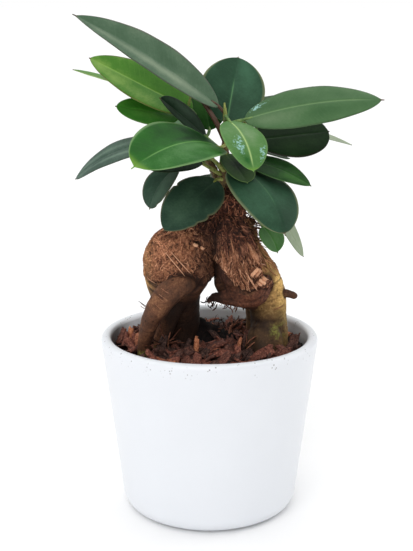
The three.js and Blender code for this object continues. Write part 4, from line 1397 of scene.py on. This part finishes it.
def blade_point(traits, t, s, lift):
    """A point of the blade at t and s, raised off its face by lift."""
    along, side, face = leaf_directions(traits["aim"])
    length, _ = traits["size"]
    half = half_width(t, traits) * bitten(t, s, traits)
    hump = 4 * t * (1 - t) * length
    soft = np.sqrt(s**2 + 0.02) - 0.14
    inner = np.sin(np.pi * np.clip(t, 0, 1))
    ripple = RIPPLE * np.sin(2.6 * t * length / 10 + 1.5 * np.sign(s)) * s**4 * inner
    rise = traits["arch"] * hump + traits["fold"] * soft * half + ripple + lift
    return (
        np.array(traits["place"], float)
        + along * (t * length)[..., None]
        + side * (s * half + traits["sweep"] * hump)[..., None]
        + face * rise[..., None]
    )


def patches(t, s, rows):
    """Soft patches on a blade, each a centre, its reach both ways and its strength."""
    total = np.zeros_like(t)
    for at_t, at_s, reach_t, reach_s, strength in rows:
        total += strength * np.exp(-(((t - at_t) / reach_t) ** 2) - ((s - at_s) / reach_s) ** 2)
    return total


def blade_layers(traits, t, s, half, both):
    """What the leaf material reads, for the top face and the underside."""
    length, _ = traits["size"]
    across = np.abs(s) * half
    rib, rib_end = traits["rib"]
    brown, fresh = traits["tip"]
    return {
        "painted_light_and_shade": both(patches(t, s, traits["bands"])),
        "wet": both(np.clip(patches(t, s, [(*row, 1.3) for row in traits["wet"]]), 0, 1)),
        "rib": both(rib * np.exp(-((across / 0.38) ** 2)) * smoothstep(rib_end, rib_end - 0.2, t)),
        "rim": both(0.75 * smoothstep(half - 0.42, half - 0.1, across)),
        "vein_run": both(t * length - 0.55 * across),
        "under": np.repeat([0.0, 1.0], t.size),
        "tip": both(brown * smoothstep(0.99, 1.0, t)),
        "fresh": both(fresh * smoothstep(0.94, 0.99, t)),
    }


def blade_mesh(traits):
    """A blade's points and faces, with its top face first, and what its material reads."""
    length, _ = traits["size"]
    end = 1 + traits["drip"] / length
    t_line = end * (0.5 - 0.5 * np.cos(np.linspace(0, np.pi, BLADE_ROWS)))
    u = np.linspace(-1, 1, BLADE_COLUMNS)
    s_line = np.sign(u) * np.abs(u) ** 1.35
    t, s = np.meshgrid(t_line, s_line, indexing="ij")
    half = half_width(t, traits)
    across = np.abs(s) * half
    half_thick = 0.5 * BLADE_THICKNESS * (1 - 0.7 * np.abs(s) ** 10)
    reach = smoothstep(1.02, 0.85, t)
    groove = -0.25 * np.exp(-((across / 0.7) ** 2)) * reach
    keel = -0.55 * np.exp(-((across / 0.8) ** 2)) * reach
    top = blade_point(traits, t, s, half_thick + groove)
    bottom = blade_point(traits, t, s, -half_thick + keel)
    points = np.vstack([top.reshape(-1, 3), bottom.reshape(-1, 3)])
    layers = blade_layers(traits, t, s, half, lambda values: np.tile(values.ravel(), 2))
    return points, sheet_faces(BLADE_ROWS, BLADE_COLUMNS), layers


def stalk_mesh(traits):
    """The leaf's stalk, from its stem to just inside the blade."""
    stem, share = traits["stem"]
    table = np.array([row[:3] for row in STEMS[stem]], float)
    root = smooth_line(table, np.array([share]))[0][0]
    start = np.array(traits["place"], float)
    along, _, _ = leaf_directions(traits["aim"])
    bend = start - along * 0.4 * np.linalg.norm(root - start)
    inside = blade_point(traits, np.array([0.06]), np.array([0.0]), np.array([-0.3]))[0]
    knee = root + (bend - root) * 0.7
    stations = [(*root, 1.25), (*knee, 1.0), (*start, 0.95), (*inside, 0.6)]
    return tube(stations, 10, 22)


def make_leaves():
    blades = {look: leaf_material(look) for look in LOOKS}
    stalks = {
        "green": stalk_material("stalk_green", srgb(66, 100, 44), srgb(116, 146, 76)),
        "yellow": stalk_material("stalk_yellow", srgb(122, 128, 58), srgb(176, 178, 96)),
        "brown": stalk_material("stalk_brown", srgb(62, 46, 38), srgb(98, 72, 56)),
    }
    for name, traits in LEAVES.items():
        points, faces, layers = blade_mesh(traits)
        stalk_points, stalk_faces = stalk_mesh(traits)
        joined, all_faces = join_parts([(points, faces), (stalk_points, stalk_faces)])
        thing = mesh_object("blade_" + name, joined, all_faces, blades[traits["look"]])
        thing.data.materials.append(stalks[traits["stalk"]])
        which = np.zeros(len(all_faces), np.int32)
        which[len(faces):] = 1
        thing.data.polygons.foreach_set("material_index", which)
        blank = np.zeros(len(stalk_points))
        paint(thing, **{key: np.r_[values, blank] for key, values in layers.items()})
        dress(thing, SLOT_OF[traits["look"]], "leaf_" + name)


make_leaves()


# Mulch

def mulch_material():
    shader = Shader("bark_mulch", Roughness=0.8, IOR=1.4, Specular_IOR_Level=0.4)
    grain = shader.noise(1.2, 4, 0.65)
    brown = shader.ramp(grain, BARK_STOPS, (28, 19, 17), (66, 44, 38), (118, 86, 74))
    red = shader.ramp(grain, BARK_STOPS, (52, 27, 22), (116, 66, 53), (176, 116, 94))
    orange = shader.ramp(grain, BARK_STOPS, (112, 60, 40), (180, 112, 78), (220, 158, 118))
    tint = shader.layer("tint")
    colour = shader.mix(shader.span(tint, 0.25, 0.7), brown, red)
    colour = shader.mix(shader.span(tint, 0.86, 1.0), colour, orange)
    normal = shader.bump(shader.noise(1.0, 4, 0.6), 0.3, 0.5)
    return shader.finish(Base_Color=colour, Normal=normal)


def soil_material(name):
    shader = Shader(name, Roughness=0.95, Specular_IOR_Level=0.2)
    crumb = shader.noise(2.2, 4, 0.65)
    colour = shader.ramp(crumb, (0.35, 0.55, 0.75), (14, 11, 11), (28, 21, 20), (52, 38, 33))
    return shader.finish(Base_Color=colour, Normal=shader.bump(crumb, 1.0, 0.9))


CHIP_ROWS = 9
CHIP_COLUMNS = 5
CHIP_FACES = sheet_faces(CHIP_ROWS, CHIP_COLUMNS)
STANDING_THICKNESS = 1.8
CHOPPED_THICKNESS = 2.4


def chip_template(random):
    """One flake of bark, long in X, thin in Z, with grain along it, torn ends and a slight bend."""
    u, v = np.meshgrid(np.linspace(-1, 1, CHIP_ROWS), np.linspace(-1, 1, CHIP_COLUMNS), indexing="ij")
    torn = 0.16 * noise(np.stack([np.sign(u) * 3, v * 2.1, 0 * u], -1), 1, int(random.integers(1e6)))
    x = 0.5 * u * (1 + torn * np.abs(u) ** 2)
    waist = 1 - 0.25 * np.abs(u) ** 3 * random.uniform(0.2, 1.6)
    ragged = np.stack([u * 1.7, 0 * u + 5, 0 * u], -1)
    y = 0.5 * v * waist + 0.08 * noise(ragged, 1, int(random.integers(1e6)))
    seeds = random.integers(1, 1e6, 2)
    bend = random.uniform(-0.8, 0.8) * v**2 + random.uniform(-0.7, 0.7) * u**2
    edge = 1 - 0.55 * np.maximum(np.abs(u), np.abs(v)) ** 6
    sheets = []
    for sign, seed in zip((1, -1), seeds):
        grain = 0.24 * noise(np.stack([u * 1.2, v * 3.5, 0 * u], -1), 1, int(seed))
        sheets.append(np.stack([x, y, 0.5 * sign * edge * (1 + grain) + bend], -1).reshape(-1, 3))
    return np.vstack(sheets)


def turn_matrix(heading, lean, roll):
    """Rolls about X, leans the X end up, then turns about Z. Angles are in degrees."""
    h, l, r = (math.radians(v) for v in (heading, lean, roll))
    about_x = np.array([[1, 0, 0], [0, math.cos(r), -math.sin(r)], [0, math.sin(r), math.cos(r)]])
    about_y = np.array([[math.cos(l), 0, -math.sin(l)], [0, 1, 0], [math.sin(l), 0, math.cos(l)]])
    about_z = np.array([[math.cos(h), -math.sin(h), 0], [math.sin(h), math.cos(h), 0], [0, 0, 1]])
    return about_z @ about_y @ about_x


def chip(random, centre, size, turn):
    """Points and faces of one flake, as large, turned and placed as asked."""
    points = chip_template(random) * np.array(size) @ turn_matrix(*turn).T + np.array(centre)
    return points, CHIP_FACES


# Chips that stand up: the centre's x, y and z, then length, width, heading and lean in degrees, and tint
STANDING_CHIPS = [
    (-7, -40, 101, 12, 5, 80, 62, 0.6),
    (6, -36, 100, 15, 11, 15, 38, 0.5),
    (16, -30, 99, 18, 4, 85, 80, 0.8),
    (-51, 1, 101, 12, 3.2, 60, 55, 0.6),
    (-48, 4, 102, 13, 3.6, 75, 62, 0.98),
    (-45, 2, 101, 11, 3, 110, 58, 0.7),
    (-41, 6, 102, 12, 3.4, 80, 66, 0.9),
    (-24, -40, 99, 15, 8, 30, 30, 0.7),
    (-8.5, -22, 103, 14, 4.5, 10, 82, 1),
    (-13, -19, 102, 12, 6, 15, 76, 0.2),
    (3, -9, 101, 15, 9, 5, 20, 0.55),
    (16.5, -17, 101, 15, 4, 5, 84, 0.95),
    (13, -8, 101, 12, 2, 0, 78, 0.4),
    (19.5, -14, 102, 14, 1.6, 10, 86, 0.3),
    (-46, -8, 101, 12, 5, 130, 42, 0.7),
    (-53, 8, 102, 11, 4, 40, 58, 0.5),
    (-43, -2, 102, 10, 3.4, 95, 50, 0.93),
    (-30, -12, 102, 14, 4, 35, 66, 0.25),
    (-27, -14, 102, 13, 3, 50, 58, 0.15),
    (50, -4, 101, 12, 6, 60, 44, 0.35),
    (45, -16, 100, 12, 6, 140, 36, 0.5),
    (-31, -33, 101, 13, 5, 160, 40, 0.75),
]
CHIP_COUNT = 400

# The hollow under the arch, bare of chips so that the near-black soil shows there as painted shade:
# centre and reach, across and deep
CLEARING = ((-6, 26), (20, 21))


def trunk_gap(point):
    """Distance from a point to the trunk's surface."""
    return trunk["tree"].find_nearest(Vector(point))[3]


def in_clearing(x, y):
    (middle_x, middle_y), (reach_x, reach_y) = CLEARING
    return ((x - middle_x) / reach_x) ** 2 + ((y - middle_y) / reach_y) ** 2 < 1


def make_mulch():
    random = np.random.default_rng(71)
    reach = inner_radius(MULCH_BED_TOP) - 5
    parts, tints = [], []

    def add(centre, size, turn, tint):
        parts.append(chip(random, centre, size, turn))
        tints.append(tint)

    for i in range(CHIP_COUNT):
        share = i / CHIP_COUNT
        radius = reach * math.sqrt(random.uniform(0, 1))
        bearing = random.uniform(0, 2 * math.pi)
        z = MULCH_BED_TOP - 0.6 + 3.6 * share + random.uniform(0, 1)
        centre = (radius * math.cos(bearing), radius * math.sin(bearing), z)
        size = (random.uniform(7, 17), random.uniform(3, 8.5), random.uniform(0.9, 1.9))
        lean, roll = random.normal(0, 24), random.normal(0, 26)
        clear_of_trunk = trunk_gap(centre) > 0.3 * size[0]
        if clear_of_trunk and not in_clearing(*centre[:2]):
            add(centre, size, (random.uniform(0, 360), lean, roll), random.uniform(0, 0.4 + 0.6 * share))
    for x, y, z, length, width, heading, lean, tint in STANDING_CHIPS:
        add((x, y, z), (length, width, STANDING_THICKNESS), (heading, lean, 0), tint)
    thing = mesh_object("mulch_chips", *join_parts(parts), mulch_material())
    paint(thing, tint=np.repeat(tints, 2 * CHIP_ROWS * CHIP_COLUMNS))
    dress(thing, "mulch", "bark_mulch")


# Chopped wood at the foot of the cut root, and pale flecks in the crease beside the bulb: the centre,
# length, width, tilt in the front view, and lightness
CHOPPED_ENDS = [
    (24.4, -22.4, 150.8, 4.6, 1.2, 52, 0.3),
    (25.7, -22.6, 149.6, 5.8, 2, 50, 0.85),
    (27.6, -21.4, 148.1, 5.4, 2.1, 48, 0.75),
    (31.7, -17.6, 144.3, 4, 1.9, -40, 0.8),
    (30.2, -18.6, 142.8, 4.4, 2.1, -40, 0.95),
    (28.7, -19, 141.3, 4.2, 1.9, -40, 0.85),
    (26.8, -17.4, 139.8, 3.4, 2, 55, 0.6),
    (25.6, -18.6, 157.5, 9.5, 3.8, -63, 0.55),
    (-8, -15.2, 163.6, 3, 1.8, -25, 1),
    (-4, -15.2, 161.8, 2.6, 1.4, -40, 1),
]


def make_chopped_ends():
    random = np.random.default_rng(35)
    parts = []
    for *centre, length, width, tilt, _ in CHOPPED_ENDS:
        parts.append(chip(random, centre, (length, width, CHOPPED_THICKNESS), (0, tilt, 90)))
    points, faces = join_parts(parts)
    thing = mesh_object("chopped_ends", points, faces, fibre_bark)
    lightness = np.repeat([row[-1] for row in CHOPPED_ENDS], 2 * CHIP_ROWS * CHIP_COLUMNS)
    paint(thing, tint=lightness, hollow=0 * lightness, **plain_layers(len(points), shred=1))
    dress(thing, "bark")


SOIL_DEPTH = 5

# The mound of soil under the arch, a near-black slope that partly stands in for the shade there: its
# height, and the y of its crest
MOUND_HEIGHT = 16
MOUND_Y = 17


def make_soil_surface():
    """Dark crumbs that show between the chips, as a thin closed disc."""
    sides, rings = 120, 34
    reach = inner_radius(MULCH_BED_TOP) - 0.5
    radii = np.linspace(1, reach, rings)
    angles = np.linspace(0, 2 * np.pi, sides, endpoint=False)
    r, a = np.meshgrid(radii, angles, indexing="ij")
    flat = np.stack([r * np.cos(a), r * np.sin(a), 0 * r], -1).reshape(-1, 3)
    top = flat + [0, 0, MULCH_BED_TOP - 0.4]
    x, y, _ = flat.T
    slope = np.where(y < MOUND_Y, 9, 5)
    mound = MOUND_HEIGHT * np.clip((22 - x) / 30, 0, 1) * smoothstep(-30, -19, x)
    mound = mound * np.exp(-(((y - MOUND_Y) / slope) ** 2))
    top[:, 2] += mound + 1.0 * noise(flat, 4, 31) + 0.6 * noise(flat, 1.8, 32)
    bottom = (flat + [0, 0, MULCH_BED_TOP - SOIL_DEPTH]).reshape(rings, sides, 3)[::-1].reshape(-1, 3)
    points = np.vstack([top, bottom])
    faces = [tuple(reversed(face)) for face in ring_faces(2 * rings, sides)]
    thing = mesh_object("soil_crumbs", points, faces, soil_material("soil_crumbs"))
    dress(thing, "soil")


make_mulch()
make_chopped_ends()
make_soil_surface()
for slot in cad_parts["soil"].material_slots:
    slot.material = soil_material("soil")
